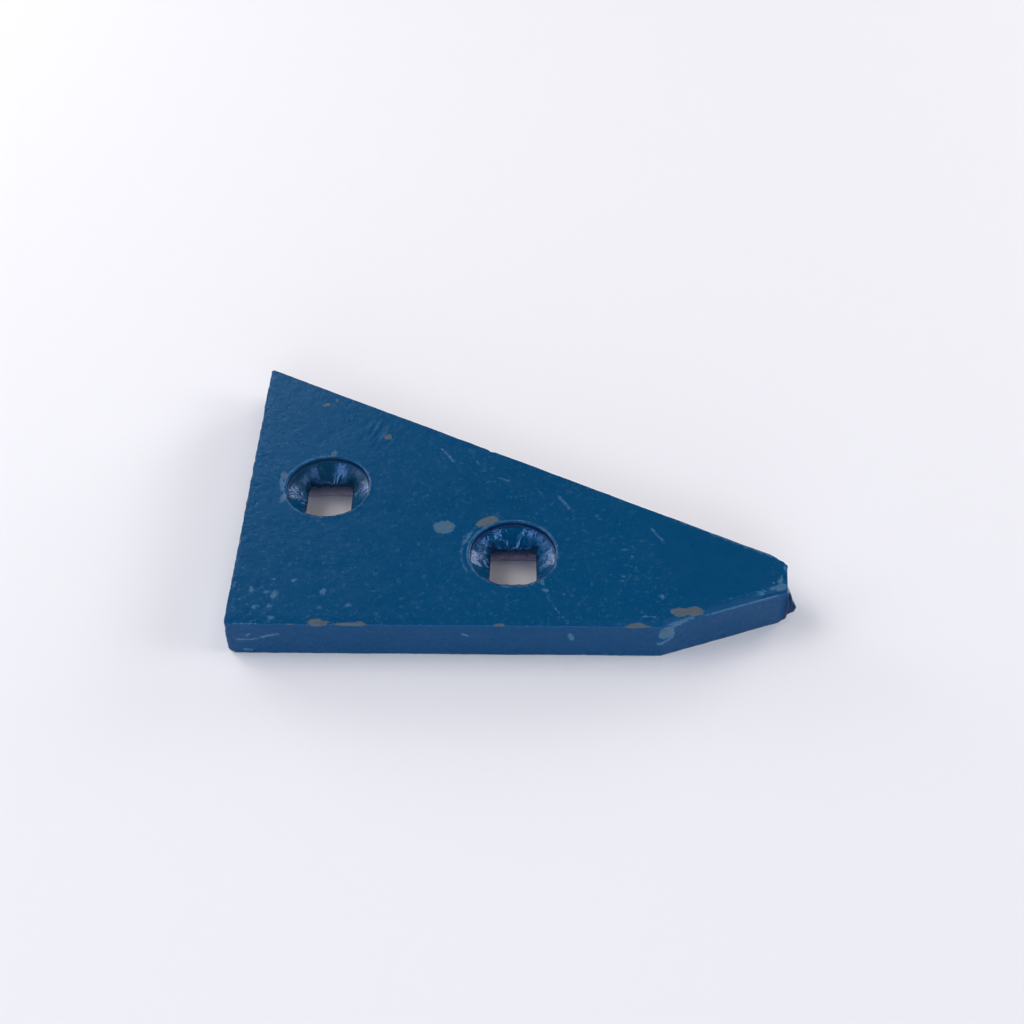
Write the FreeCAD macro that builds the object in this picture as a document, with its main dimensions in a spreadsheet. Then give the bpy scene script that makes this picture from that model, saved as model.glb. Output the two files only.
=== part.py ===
import FreeCAD, Part
import math
import os
import Sketcher

# Plough landside: a thick steel wear plate, sheared to a long tapering outline, that slides
# along the furrow wall and is held to the plough's frog by two flush square-neck bolts.
#
# The plate is drawn with the square end's front corner at zero, X along the straight front edge
# towards the tip, Y across the plate, Z up from the flat back to the show face. The whole plate
# is then placed so that the point midway between the two bolt holes, on the back, is the origin.


# Driving dimensions, in millimetres and degrees
SIZES = [
    # outline, seen on the show face
    ("plate_thickness", 13.0),
    ("front_edge", 121.6),
    ("square_end", 108.1),
    ("tip_reach", 157.2),
    ("tip_set_back", 12.95),
    ("tip_edge", 9.85),
    ("tip_edge_lean", 0.9),
    # corner knocked off where the sloping edge meets the tip
    ("knock_along", 4.2),
    ("knock_down", 4.3),
    # rounding of the plate's upright corners
    ("corner_round", 0.8),
    # the shear rolls the show face over along the front and along the slanted edge
    ("rollover_width", 2.6),
    ("rollover_drop", 0.45),
    # the square end's bottom edge is hammered round
    ("heel_round", 1.2),
    # how far a cutting profile reaches past the metal that it removes
    ("cut_margin", 2.0),
    # bolt holes
    ("hole_from_end", 23.7),
    ("hole_from_front", 53.9),
    ("hole_step_along", 56.05),
    ("hole_step_across", 26.9),
    ("rim_diameter", 25.0),
    ("rim_land", 1.25),
    ("cone_angle", 100.0),
    ("cone_overlap", 0.3),
    ("neck_square", 13.5),
    ("neck_corner", 0.7),
    # the punch tears out the metal below the clean neck and leaves it wider at the back
    ("breakout_height", 6.2),
    ("breakout_flare", 2.2),
    # torn lip that hangs out of the sheared tip, beside the slanted edge
    ("lip_reach", 3.1),
    ("lip_peak", 5.6),
    ("lip_top", 12.1),
    ("lip_foot", 0.7),
    ("lip_root", 1.6),
    ("lip_width", 4.2),
    ("lip_fade", 0.35),
    # bottom corner broken off under the torn lip
    ("crumble_along", 3.4),
    ("crumble_height", 1.7),
    ("crumble_depth", 2.5),
]


def make_sheet(doc):
    """Put every driving dimension in one table, each under its own name."""
    sheet = doc.addObject("Spreadsheet::Sheet", "Sizes")
    for row, (alias, value) in enumerate(SIZES, start=1):
        sheet.set(f"A{row}", alias)
        sheet.set(f"B{row}", str(value))
        sheet.setAlias(f"B{row}", alias)
    doc.recompute()
    return sheet


def cell(alias):
    """The expression that reads one driving dimension."""
    return f"Sizes.{alias}"


def new_sketch(body, name, plane_role, offset=None):
    """A sketch on one of the plate's own datum planes, lifted along the plane's normal."""
    sketch = body.newObject("Sketcher::SketchObject", name)
    plane = next(item for item in body.Origin.OriginFeatures if item.Role == plane_role)
    sketch.AttachmentSupport = [(plane, "")]
    sketch.MapMode = "FlatFace"
    if offset:
        sketch.setExpression("AttachmentOffset.Base.z", offset)
    return sketch


# A sketch's own origin, and the numbers by which a sketch knows the points of a curve
ORIGIN_POINT = (-1, 1)
X_AXIS = -1
START = 1
END = 2
CENTRE = 3

# Two places closer than this are the same place
NEAR = 1e-4


def drive(sketch, kind, first, second, expression):
    """A horizontal or vertical distance between two points, driven by an expression."""
    gap = sketch.getPoint(*second) - sketch.getPoint(*first)
    value = gap.x if kind == "DistanceX" else gap.y
    index = sketch.addConstraint(Sketcher.Constraint(kind, *first, *second, value))
    sketch.setExpression(f"Constraints[{index}]", expression)
    return index


def closed_lines(sketch, points):
    """Straight segments through the points, joined end to end; returns their indices."""
    count = len(points)
    lines = []
    for here, there in zip(points, points[1:] + points[:1]):
        segment = Part.LineSegment(FreeCAD.Vector(*here, 0), FreeCAD.Vector(*there, 0))
        lines.append(sketch.addGeometry(segment, False))
    for step in range(count):
        follower = lines[(step + 1) % count]
        sketch.addConstraint(Sketcher.Constraint("Coincident", lines[step], END, follower, START))
    return lines


def draw_outline(sketch, size):
    """The plate's outline: front edge, slanted edge, tip, knocked corner, slope, square end."""
    tip_x = size["tip_reach"]
    tip_y = size["tip_set_back"]
    top_x = tip_x + size["tip_edge_lean"]
    top_y = tip_y + size["tip_edge"]
    points = [
        (0, 0),
        (size["front_edge"], 0),
        (tip_x, tip_y),
        (top_x, top_y),
        (top_x - size["knock_along"], top_y + size["knock_down"]),
        (0, size["square_end"]),
    ]
    front, slant, tip, knock, slope, end = closed_lines(sketch, points)
    sketch.addConstraint(Sketcher.Constraint("Coincident", front, START, *ORIGIN_POINT))
    sketch.addConstraint(Sketcher.Constraint("Horizontal", front))
    sketch.addConstraint(Sketcher.Constraint("Vertical", end))
    drive(sketch, "DistanceX", ORIGIN_POINT, (front, END), cell("front_edge"))
    drive(sketch, "DistanceY", ORIGIN_POINT, (end, START), cell("square_end"))
    drive(sketch, "DistanceX", ORIGIN_POINT, (slant, END), cell("tip_reach"))
    drive(sketch, "DistanceY", ORIGIN_POINT, (slant, END), cell("tip_set_back"))
    drive(sketch, "DistanceX", (tip, START), (tip, END), cell("tip_edge_lean"))
    drive(sketch, "DistanceY", (tip, START), (tip, END), cell("tip_edge"))
    drive(sketch, "DistanceX", (knock, END), (knock, START), cell("knock_along"))
    drive(sketch, "DistanceY", (knock, START), (knock, END), cell("knock_down"))


def hole_centres(size):
    """Both bolt holes: where each one is, and the expressions that say so."""
    return [
        (
            (size["hole_from_end"], size["hole_from_front"]),
            (cell("hole_from_end"), cell("hole_from_front")),
        ),
        (
            (
                size["hole_from_end"] + size["hole_step_along"],
                size["hole_from_front"] - size["hole_step_across"],
            ),
            (
                f"{cell('hole_from_end')} + {cell('hole_step_along')}",
                f"{cell('hole_from_front')} - {cell('hole_step_across')}",
            ),
        ),
    ]


def draw_rims(sketch, size):
    """One circle round each bolt hole, the size of the bolt head's rim."""
    for (x, y), (x_rule, y_rule) in hole_centres(size):
        circle = Part.Circle(FreeCAD.Vector(x, y, 0), FreeCAD.Vector(0, 0, 1), size["rim_diameter"] / 2)
        rim = sketch.addGeometry(circle, False)
        drive(sketch, "DistanceX", ORIGIN_POINT, (rim, CENTRE), x_rule)
        drive(sketch, "DistanceY", ORIGIN_POINT, (rim, CENTRE), y_rule)
        index = sketch.addConstraint(Sketcher.Constraint("Diameter", rim, size["rim_diameter"]))
        sketch.setExpression(f"Constraints[{index}]", cell("rim_diameter"))


def draw_squares(sketch, size, side, side_rule, corner, corner_rule):
    """One square with rounded corners at each bolt hole, its sides along the front edge."""
    half = side / 2
    straight = half - corner
    for (x, y), (x_rule, y_rule) in hole_centres(size):
        sides = []
        corners = []
        for turn in range(4):
            angle = turn * math.pi / 2
            along = FreeCAD.Vector(math.cos(angle), math.sin(angle), 0)
            out = FreeCAD.Vector(math.sin(angle), -math.cos(angle), 0)
            middle = FreeCAD.Vector(x, y, 0) + out * half
            ends = (middle - along * straight, middle + along * straight)
            sides.append(sketch.addGeometry(Part.LineSegment(*ends), False))
            hub = FreeCAD.Vector(x, y, 0) + (out + along) * straight
            circle = Part.Circle(hub, FreeCAD.Vector(0, 0, 1), corner)
            arc = Part.ArcOfCircle(circle, angle - math.pi / 2, angle)
            corners.append(sketch.addGeometry(arc, False))
        for turn in range(4):
            sketch.addConstraint(
                Sketcher.Constraint("Tangent", sides[turn], END, corners[turn], START)
            )
            follower = sides[(turn + 1) % 4]
            sketch.addConstraint(Sketcher.Constraint("Tangent", corners[turn], END, follower, START))
        bottom, right, top, left = sides
        sketch.addConstraint(Sketcher.Constraint("Horizontal", bottom))
        sketch.addConstraint(Sketcher.Constraint("Equal", bottom, right))
        sketch.addConstraint(Sketcher.Constraint("Equal", corners[0], corners[1]))
        sketch.addConstraint(Sketcher.Constraint("Equal", corners[1], corners[2]))
        sketch.addConstraint(Sketcher.Constraint("Equal", corners[2], corners[3]))
        index = sketch.addConstraint(Sketcher.Constraint("Radius", corners[0], corner))
        sketch.setExpression(f"Constraints[{index}]", corner_rule)
        drive(sketch, "DistanceX", (left, START), (right, START), side_rule)
        drive(sketch, "DistanceX", ORIGIN_POINT, (left, START), f"{x_rule} - ({side_rule}) / 2")
        drive(sketch, "DistanceY", ORIGIN_POINT, (bottom, START), f"{y_rule} - ({side_rule}) / 2")


def draw_lip(sketch, size, reach, reach_rule):
    """One upright section of the torn lip: a lopsided triangle rooted in the plate."""
    wall = size["tip_reach"]
    root = wall - size["lip_root"]
    points = [
        (root, size["lip_foot"]),
        (wall, size["lip_foot"]),
        (wall + reach, size["lip_peak"]),
        (wall, size["lip_top"]),
        (root, size["lip_top"]),
    ]
    foot, under, over, top, back = closed_lines(sketch, points)
    sketch.addConstraint(Sketcher.Constraint("Horizontal", foot))
    sketch.addConstraint(Sketcher.Constraint("Horizontal", top))
    sketch.addConstraint(Sketcher.Constraint("Vertical", back))
    drive(sketch, "DistanceX", ORIGIN_POINT, (foot, END), cell("tip_reach"))
    drive(sketch, "DistanceX", ORIGIN_POINT, (top, START), cell("tip_reach"))
    drive(sketch, "DistanceX", (foot, START), (foot, END), cell("lip_root"))
    drive(sketch, "DistanceX", (foot, END), (under, END), reach_rule)
    drive(sketch, "DistanceY", ORIGIN_POINT, (foot, END), cell("lip_foot"))
    drive(sketch, "DistanceY", ORIGIN_POINT, (under, END), cell("lip_peak"))
    drive(sketch, "DistanceY", ORIGIN_POINT, (top, START), cell("lip_top"))


def draw_heel(sketch, size):
    """What the hammering takes off the square end's bottom edge: all outside a quarter round."""
    bend = size["heel_round"]
    clear = size["cut_margin"]
    hub = FreeCAD.Vector(bend, bend, 0)
    circle = Part.Circle(hub, FreeCAD.Vector(0, 0, 1), bend)
    arc = sketch.addGeometry(Part.ArcOfCircle(circle, math.pi, 3 * math.pi / 2), False)
    points = [(bend, 0), (bend, -clear), (-clear, -clear), (-clear, bend), (0, bend)]
    lines = []
    for here, there in zip(points, points[1:]):
        segment = Part.LineSegment(FreeCAD.Vector(*here, 0), FreeCAD.Vector(*there, 0))
        lines.append(sketch.addGeometry(segment, False))
    down, under, up, across = lines
    sketch.addConstraint(Sketcher.Constraint("Coincident", arc, END, down, START))
    sketch.addConstraint(Sketcher.Constraint("Coincident", down, END, under, START))
    sketch.addConstraint(Sketcher.Constraint("Coincident", under, END, up, START))
    sketch.addConstraint(Sketcher.Constraint("Coincident", up, END, across, START))
    sketch.addConstraint(Sketcher.Constraint("Coincident", across, END, arc, START))
    sketch.addConstraint(Sketcher.Constraint("Vertical", down))
    sketch.addConstraint(Sketcher.Constraint("Horizontal", under))
    sketch.addConstraint(Sketcher.Constraint("Vertical", up))
    sketch.addConstraint(Sketcher.Constraint("Horizontal", across))
    drive(sketch, "DistanceX", ORIGIN_POINT, (arc, CENTRE), cell("heel_round"))
    drive(sketch, "DistanceY", ORIGIN_POINT, (arc, CENTRE), cell("heel_round"))
    drive(sketch, "DistanceX", ORIGIN_POINT, (arc, END), cell("heel_round"))
    drive(sketch, "DistanceY", ORIGIN_POINT, (arc, START), cell("heel_round"))
    index = sketch.addConstraint(Sketcher.Constraint("Radius", arc, bend))
    sketch.setExpression(f"Constraints[{index}]", cell("heel_round"))
    drive(sketch, "DistanceX", (up, START), ORIGIN_POINT, cell("cut_margin"))
    drive(sketch, "DistanceY", (under, END), ORIGIN_POINT, cell("cut_margin"))


def draw_crumble(sketch, size):
    """The wedge that has broken off the bottom corner under the torn lip."""
    wall = size["tip_reach"]
    clear = size["cut_margin"]
    rise = size["crumble_height"]
    points = [
        (wall - size["crumble_along"], 0),
        (wall, rise),
        (wall + clear, rise),
        (wall + clear, -clear),
        (wall - size["crumble_along"], -clear),
    ]
    slope, top, outer, bottom, inner = closed_lines(sketch, points)
    sketch.addConstraint(Sketcher.Constraint("Horizontal", top))
    sketch.addConstraint(Sketcher.Constraint("Vertical", outer))
    sketch.addConstraint(Sketcher.Constraint("Horizontal", bottom))
    sketch.addConstraint(Sketcher.Constraint("Vertical", inner))
    sketch.addConstraint(Sketcher.Constraint("PointOnObject", slope, START, X_AXIS))
    drive(sketch, "DistanceX", ORIGIN_POINT, (top, START), cell("tip_reach"))
    drive(sketch, "DistanceY", ORIGIN_POINT, (top, START), cell("crumble_height"))
    drive(sketch, "DistanceX", (slope, START), (slope, END), cell("crumble_along"))
    drive(sketch, "DistanceX", (top, START), (top, END), cell("cut_margin"))
    drive(sketch, "DistanceY", (bottom, START), ORIGIN_POINT, cell("cut_margin"))


def edges_where(shape, test):
    """Names of the edges that pass the test."""
    return [f"Edge{number}" for number, edge in enumerate(shape.Edges, start=1) if test(edge)]


def off_line(point, start, stop):
    """How far a point lies from the upright plane through two corners of the outline."""
    run = FreeCAD.Vector(stop[0] - start[0], stop[1] - start[1], 0)
    reach = FreeCAD.Vector(point.x - start[0], point.y - start[1], 0)
    return abs(run.cross(reach).z) / run.Length


def feature(body, kind, name, profile=None, **settings):
    """Add one feature to the plate; a text setting is an expression, anything else a value."""
    item = body.newObject(kind, name)
    if profile:
        item.Profile = profile
    for key, value in settings.items():
        if isinstance(value, str) and key in ("Length", "Radius", "Size", "Size2", "TaperAngle"):
            item.setExpression(key, value)
        else:
            setattr(item, key, value)
    body.Document.recompute()
    return item


def must_cut(before, item):
    """Stop if a feature that takes metal away has taken none."""
    if item.Shape.Volume >= before - 1e-3:
        raise RuntimeError(f"{item.Name} cut nothing")
    return item.Shape.Volume


def make_landside(doc, size):
    """The whole plate, in the order in which it is made: shear, roll over, punch, tear."""
    body = doc.addObject("PartDesign::Body", "Landside")
    body.Label = "landside"

    outline = new_sketch(body, "Outline", "XY_Plane")
    draw_outline(outline, size)
    doc.recompute()
    plate = feature(body, "PartDesign::Pad", "Plate", outline, Length=cell("plate_thickness"))

    # Show face rolled over along the front edge and the slanted edge
    thickness = size["plate_thickness"]
    front = ((0, 0), (size["front_edge"], 0))
    slant = ((size["front_edge"], 0), (size["tip_reach"], size["tip_set_back"]))

    def on_rolled_edge(edge):
        ends = [vertex.Point for vertex in edge.Vertexes]
        at_top = all(abs(point.z - thickness) < NEAR for point in ends)
        return at_top and any(
            all(off_line(point, *line) < NEAR for point in ends) for line in (front, slant)
        )

    volume = plate.Shape.Volume
    rollover = feature(
        body,
        "PartDesign::Chamfer",
        "ShearRollover",
        Base=(plate, edges_where(plate.Shape, on_rolled_edge)),
        ChamferType="Two distances",
        FlipDirection=True,
        Size=cell("rollover_width"),
        Size2=cell("rollover_drop"),
    )
    volume = must_cut(volume, rollover)

    # Upright corners, a little rounded under the paint
    def is_upright(edge):
        ends = [vertex.Point for vertex in edge.Vertexes]
        return math.hypot(ends[0].x - ends[-1].x, ends[0].y - ends[-1].y) < NEAR

    corners = feature(
        body,
        "PartDesign::Fillet",
        "UprightCorners",
        Base=(rollover, edges_where(rollover.Shape, is_upright)),
        Radius=cell("corner_round"),
    )

    # Heel: the bottom edge of the square end is hammered round
    heel_sketch = new_sketch(body, "HeelProfile", "XZ_Plane")
    draw_heel(heel_sketch, size)
    doc.recompute()
    volume = corners.Shape.Volume
    heel = feature(body, "PartDesign::Pocket", "HeelRound", heel_sketch, Type="ThroughAll")
    volume = must_cut(volume, heel)

    # Bolt holes: the head's rim, its cone, the square neck, and the breakout at the back
    rims = new_sketch(body, "Rims", "XY_Plane", cell("plate_thickness"))
    draw_rims(rims, size)
    doc.recompute()
    land = feature(body, "PartDesign::Pocket", "RimLand", rims, Length=cell("rim_land"))
    volume = must_cut(volume, land)

    cone_top = new_sketch(
        body, "ConeTop", "XY_Plane", f"{cell('plate_thickness')} - {cell('rim_land')}"
    )
    draw_rims(cone_top, size)
    doc.recompute()
    half_angle = f"{cell('cone_angle')} * 1 deg / 2"
    cone_inset = f"({cell('rim_diameter')} - {cell('neck_square')}) / 2 + {cell('cone_overlap')}"
    cone = feature(
        body,
        "PartDesign::Pocket",
        "HeadCone",
        cone_top,
        Length=f"({cone_inset}) / tan({half_angle})",
        TaperAngle=f"-({half_angle})",
    )
    volume = must_cut(volume, cone)

    neck_sketch = new_sketch(body, "NeckSquare", "XY_Plane", cell("plate_thickness"))
    side = size["neck_square"]
    corner = size["neck_corner"]
    draw_squares(neck_sketch, size, side, cell("neck_square"), corner, cell("neck_corner"))
    doc.recompute()
    neck = feature(body, "PartDesign::Pocket", "Neck", neck_sketch, Type="ThroughAll")
    volume = must_cut(volume, neck)

    torn_side = side + 2 * size["breakout_flare"]
    torn_rule = f"{cell('neck_square')} + 2 * {cell('breakout_flare')}"
    torn_corner = corner + size["breakout_flare"]
    torn_corner_rule = f"{cell('neck_corner')} + {cell('breakout_flare')}"
    back_sketch = new_sketch(body, "BreakoutSquare", "XY_Plane")
    draw_squares(back_sketch, size, torn_side, torn_rule, torn_corner, torn_corner_rule)
    doc.recompute()
    breakout = feature(
        body,
        "PartDesign::Pocket",
        "Breakout",
        back_sketch,
        Reversed=True,
        Length=cell("breakout_height"),
        TaperAngle=f"-atan({cell('breakout_flare')} / {cell('breakout_height')})",
    )
    volume = must_cut(volume, breakout)

    # Torn lip: widest beside the slanted edge, fading along the sheared tip
    lip_from = f"{cell('tip_set_back')} + {cell('corner_round')}"
    lip_start = new_sketch(body, "LipStart", "XZ_Plane", f"-({lip_from})")
    draw_lip(lip_start, size, size["lip_reach"], cell("lip_reach"))
    lip_end = new_sketch(body, "LipEnd", "XZ_Plane", f"-({lip_from} + {cell('lip_width')})")
    draw_lip(lip_end, size, size["lip_fade"], cell("lip_fade"))
    doc.recompute()
    lip = feature(
        body, "PartDesign::AdditiveLoft", "TornLip", lip_start, Sections=[lip_end], Ruled=True
    )

    # Crumbled corner: a wedge broken off the bottom, below the lip
    crumble_sketch = new_sketch(
        body, "CrumbleProfile", "XZ_Plane", f"-({cell('tip_set_back')} + {cell('crumble_depth')})"
    )
    draw_crumble(crumble_sketch, size)
    doc.recompute()
    crumble = feature(
        body,
        "PartDesign::Pocket",
        "CrumbledCorner",
        crumble_sketch,
        Length=f"{cell('tip_set_back')} + {cell('crumble_depth')}",
        Reversed=True,
    )
    must_cut(lip.Shape.Volume, crumble)
    body.Tip = crumble
    return body


def place_landside(body):
    """Put the origin on the back, midway between the two bolt holes."""
    body.setExpression(
        "Placement.Base.x", f"-({cell('hole_from_end')} + {cell('hole_step_along')} / 2)"
    )
    body.setExpression(
        "Placement.Base.y", f"-({cell('hole_from_front')} - {cell('hole_step_across')} / 2)"
    )


def check_all(doc):
    """Stop if any object failed, so that nothing broken is written."""
    for item in doc.Objects:
        if "Invalid" in item.State or "Error" in item.State:
            raise RuntimeError(f"{item.Name} failed: {item.State}")


def write_piece(body):
    """Write one finished piece as a STEP file named after its label."""
    shape = body.Shape
    if shape.isNull() or not shape.isValid() or len(shape.Solids) != 1:
        raise RuntimeError(f"{body.Label} isn't one valid solid")
    shape.exportStep(os.path.join("parts", f"{body.Label}.step"))
    box = shape.BoundBox
    print(
        f"{body.Label}: {box.XLength:.2f} x {box.YLength:.2f} x {box.ZLength:.2f} mm,"
        f" volume {shape.Volume:.0f} mm3, low corner ({box.XMin:.2f}, {box.YMin:.2f}, {box.ZMin:.2f})"
    )


def main():
    size = dict(SIZES)
    doc = FreeCAD.newDocument("PloughLandside")
    make_sheet(doc)
    landside = make_landside(doc, size)
    place_landside(landside)
    doc.recompute()
    check_all(doc)
    os.makedirs("parts", exist_ok=True)
    write_piece(landside)


main()
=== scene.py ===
import math

import bmesh
import bpy
import numpy as np
from mathutils import Matrix, Vector, noise
from mathutils.geometry import delaunay_2d_cdt


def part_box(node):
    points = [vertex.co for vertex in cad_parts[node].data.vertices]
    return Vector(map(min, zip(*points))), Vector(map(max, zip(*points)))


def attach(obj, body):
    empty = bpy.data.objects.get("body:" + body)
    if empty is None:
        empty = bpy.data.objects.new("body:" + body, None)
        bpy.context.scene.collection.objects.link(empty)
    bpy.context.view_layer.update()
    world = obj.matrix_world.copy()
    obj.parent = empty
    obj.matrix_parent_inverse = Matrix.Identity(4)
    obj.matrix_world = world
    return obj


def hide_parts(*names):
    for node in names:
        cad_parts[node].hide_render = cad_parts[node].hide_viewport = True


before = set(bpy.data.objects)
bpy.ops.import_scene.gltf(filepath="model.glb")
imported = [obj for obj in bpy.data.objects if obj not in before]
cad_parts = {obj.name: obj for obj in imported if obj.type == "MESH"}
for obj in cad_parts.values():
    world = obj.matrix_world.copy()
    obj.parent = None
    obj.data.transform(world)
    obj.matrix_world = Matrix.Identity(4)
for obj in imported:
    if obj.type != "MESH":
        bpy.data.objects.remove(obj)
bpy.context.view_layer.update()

# The plate's skin is drawn in millimetres from the square end's front corner, like the solid:
# X along the front edge towards the tip, Y across the plate, Z up from the flat back.
MM = 0.001

low_corner, high_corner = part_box("landside")
CORNER_X = low_corner.x / MM
CORNER_Y = low_corner.y / MM
THICK = (high_corner.z - low_corner.z) / MM

# Outline, as in the solid
FRONT_EDGE = 121.6
SQUARE_END = 108.1
TIP_REACH = 157.2
TIP_SET_BACK = 12.95
TIP_EDGE = 9.85
TIP_EDGE_LEAN = 0.9
KNOCK_ALONG = 4.2
KNOCK_DOWN = 4.3
CORNER_ROUND = 0.8
TIP_CORNER_ROUND = 0.25
ROLLOVER_WIDTH = 2.6
ROLLOVER_DROP = 0.45
HEEL_ROUND = 1.2

# Bolt holes, as in the solid
UPPER_HOLE = (23.7, 53.9)
LOWER_HOLE = (UPPER_HOLE[0] + 56.05, UPPER_HOLE[1] - 26.9)
RIM_RADIUS = 12.5
RIM_LAND = 1.25
RIM_EDGE = 0.15
CONE_SLOPE = 1 / math.tan(math.radians(50.0))
NECK_HALF = 6.75
NECK_CORNER = 0.7
BREAKOUT_HEIGHT = 6.2
BREAKOUT_FLARE = 2.2

# Torn lip and crumbled corner at the tip, as in the solid
LIP_REACH = 3.1
LIP_PEAK = 5.6
LIP_TOP = 12.1
LIP_WIDTH = 4.2
CRUMBLE_ALONG = 3.4
CRUMBLE_HEIGHT = 1.7
CRUMBLE_DEPTH = 2.5
# heights up the lip, each with the share of its reach that it has there
LIP_PROFILE = [
    (0.1, 0.10),
    (1.0, 0.24),
    (1.9, 0.33),
    (2.8, 0.50),
    (3.6, 0.80),
    (LIP_PEAK - 0.9, 1.02),
    (LIP_PEAK - 0.5, 1.02),
    (7.0, 0.77),
    (8.7, 0.55),
    (10.4, 0.36),
    (11.4, 0.20),
    (LIP_TOP + 0.4, 0.0),
]

# Fineness of the skin: steps along the outline, along the torn tip, over the show face and over
# the back; points in a ring round a hole; steps round a corner of the outline
EDGE_STEP = 0.5
TIP_STEP = 0.15
GRID_STEP = 0.6
BACK_STEP = 2.2
HOLE_STEPS = 184
CORNER_STEPS = 5

# Where the rings round the holes and along the outline give way to the grid between them
RIM_BLEND = 16.0
FACE_BLEND = 4.0
SLIVER = 0.0002

# Radius of the rounding along the show face's sheared edges, and the share of it left elsewhere
SHARP_EDGE = 0.2
LEAST_EDGE = 0.3

# Noise: how far one seed shifts it, and what brings its highest lumps to about 1
NOISE_SHIFT = (7.31, 3.17, 5.53)
NOISE_GAIN = 1.6


def smooth(low, high, value):
    """0 below low, 1 above high, and an S-shaped rise between them; low may be the larger."""
    t = np.clip((np.asarray(value, float) - low) / (high - low), 0, 1)
    return t * t * (3 - 2 * t)


def hump(value, middle, width):
    """1 at the middle, fading to nothing a few widths away from it."""
    return np.exp(-(((value - middle) / width) ** 2))


def peak(value, middle, width):
    """1 at the middle, 0 one width away from it, and below 0 further out."""
    return 1 - np.abs(value - middle) / width


def profile(heights, rows):
    """The value at each height, from rows of a height and its value."""
    return np.interp(heights, *zip(*rows))


def wobble(points, scale, seed=0.0):
    """Smooth noise, about -1 to 1, at points of two or three columns, over lumps of one size."""
    points = np.atleast_2d(np.asarray(points, float)) / scale
    if points.shape[1] == 2:
        points = np.column_stack([points, np.zeros(len(points))])
    shift = Vector([seed * part for part in NOISE_SHIFT])
    return np.array([noise.noise(Vector(p) + shift) for p in points]) * NOISE_GAIN


def waves(points, rows):
    """Unevenness of a surface, from rows of depth, size of the lumps and seed."""
    return sum(depth * wobble(points, lump, seed) for depth, lump, seed in rows)


def uneven(points, mean, depth, lump, seed):
    """A value that wavers about its mean over lumps of one size."""
    return mean + depth * wobble(points, lump, seed)


def pits(points, size, seed, rareness):
    """0 on most of a surface, and up to 1 in scattered pits."""
    return np.clip(wobble(points, size, seed) - rareness, 0, 1)


def patch(points, centre, size):
    """1 at the centre of an oval patch, fading to nothing outside it."""
    away = (points - centre) / size
    return np.exp(-(away[:, 0] ** 2) - away[:, 1] ** 2)


def off_point(points, centre):
    """Distance of each point from a place on the plate, seen from above."""
    return np.hypot(points[:, 0] - centre[0], points[:, 1] - centre[1])


def off_segment(points, start, stop):
    """Distance of each point from a straight segment."""
    start = np.asarray(start, float)
    run = np.asarray(stop, float) - start
    reach = points - start
    t = np.clip(reach @ run / (run @ run), 0, 1)
    return np.linalg.norm(reach - t[:, None] * run, axis=1)


# Outline and its rings

CORNERS = np.array(
    [
        (0, 0),
        (FRONT_EDGE, 0),
        (TIP_REACH, TIP_SET_BACK),
        (TIP_REACH + TIP_EDGE_LEAN, TIP_SET_BACK + TIP_EDGE),
        (TIP_REACH + TIP_EDGE_LEAN - KNOCK_ALONG, TIP_SET_BACK + TIP_EDGE + KNOCK_DOWN),
        (0, SQUARE_END),
    ],
    float,
)
# the corner where the tip's own side starts, and the number of that side
TIP_SIDE = 2
# how much of its rounding a corner loses for each millimetre further in, and its least radius
ROUND_LOSS = 0.7
LEAST_ROUND = 0.12


def heading(start, stop):
    """Unit vectors along a side of the outline, and inwards from it."""
    run = (stop - start) / np.linalg.norm(stop - start)
    return run, np.array([-run[1], run[0]])


SLANT_RUN, SLANT_IN = heading(CORNERS[1], CORNERS[2])
SLOPE_IN = heading(CORNERS[4], CORNERS[5])[1]


def outline_ring(inset):
    """The outline moved inwards by inset, with round corners: its points and outward normals."""
    count = len(CORNERS)
    runs = np.roll(CORNERS, -1, axis=0) - CORNERS
    lengths = np.linalg.norm(runs, axis=1)
    runs = runs / lengths[:, None]
    inward = np.column_stack([-runs[:, 1], runs[:, 0]])
    corners = []
    for i in range(count):
        before = i - 1
        turn = math.acos(np.clip(runs[before] @ runs[i], -1, 1))
        reach = inset / math.cos(turn / 2)
        inner = inward[before] + inward[i]
        tip = CORNERS[i] + inner / np.linalg.norm(inner) * reach
        full = TIP_CORNER_ROUND if i == TIP_SIDE else CORNER_ROUND
        bend = max(full - ROUND_LOSS * inset, LEAST_ROUND)
        corners.append((tip, turn, bend * math.tan(turn / 2), bend))
    points = []
    normals = []
    for i in range(count):
        tip, turn, cut, bend = corners[i]
        hub = tip - runs[i - 1] * cut + inward[i - 1] * bend
        first = math.atan2(-inward[i - 1][1], -inward[i - 1][0])
        for step in range(CORNER_STEPS + 1):
            angle = first + turn * step / CORNER_STEPS
            out = np.array([math.cos(angle), math.sin(angle)])
            points.append(hub + out * bend)
            normals.append(out)
        start = tip + runs[i] * cut
        follower = corners[(i + 1) % count]
        stop = follower[0] - runs[i] * follower[2]
        steps = int(lengths[i] / (TIP_STEP if i == TIP_SIDE else EDGE_STEP))
        for step in range(1, steps):
            points.append(start + (stop - start) * step / steps)
            normals.append(-inward[i])
    return np.array(points), np.array(normals)


def inside_outline(points, inset):
    """Which points lie more than inset inside the outline."""
    keep = np.ones(len(points), bool)
    for here, there in zip(CORNERS, np.roll(CORNERS, -1, axis=0)):
        keep &= (points - here) @ heading(here, there)[1] > inset
    return keep


def along_slant(points):
    """How far along the slanted edge each point lies, and how far in from it."""
    reach = points[:, :2] - CORNERS[1]
    return reach @ SLANT_RUN, reach @ SLANT_IN


def off_sheared(points):
    """How far in each point lies from the front or the slanted edge, whichever is nearer."""
    return np.minimum(points[:, 1], along_slant(points)[1])


# Shape of the show face, of the back and of the sheared edges

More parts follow.
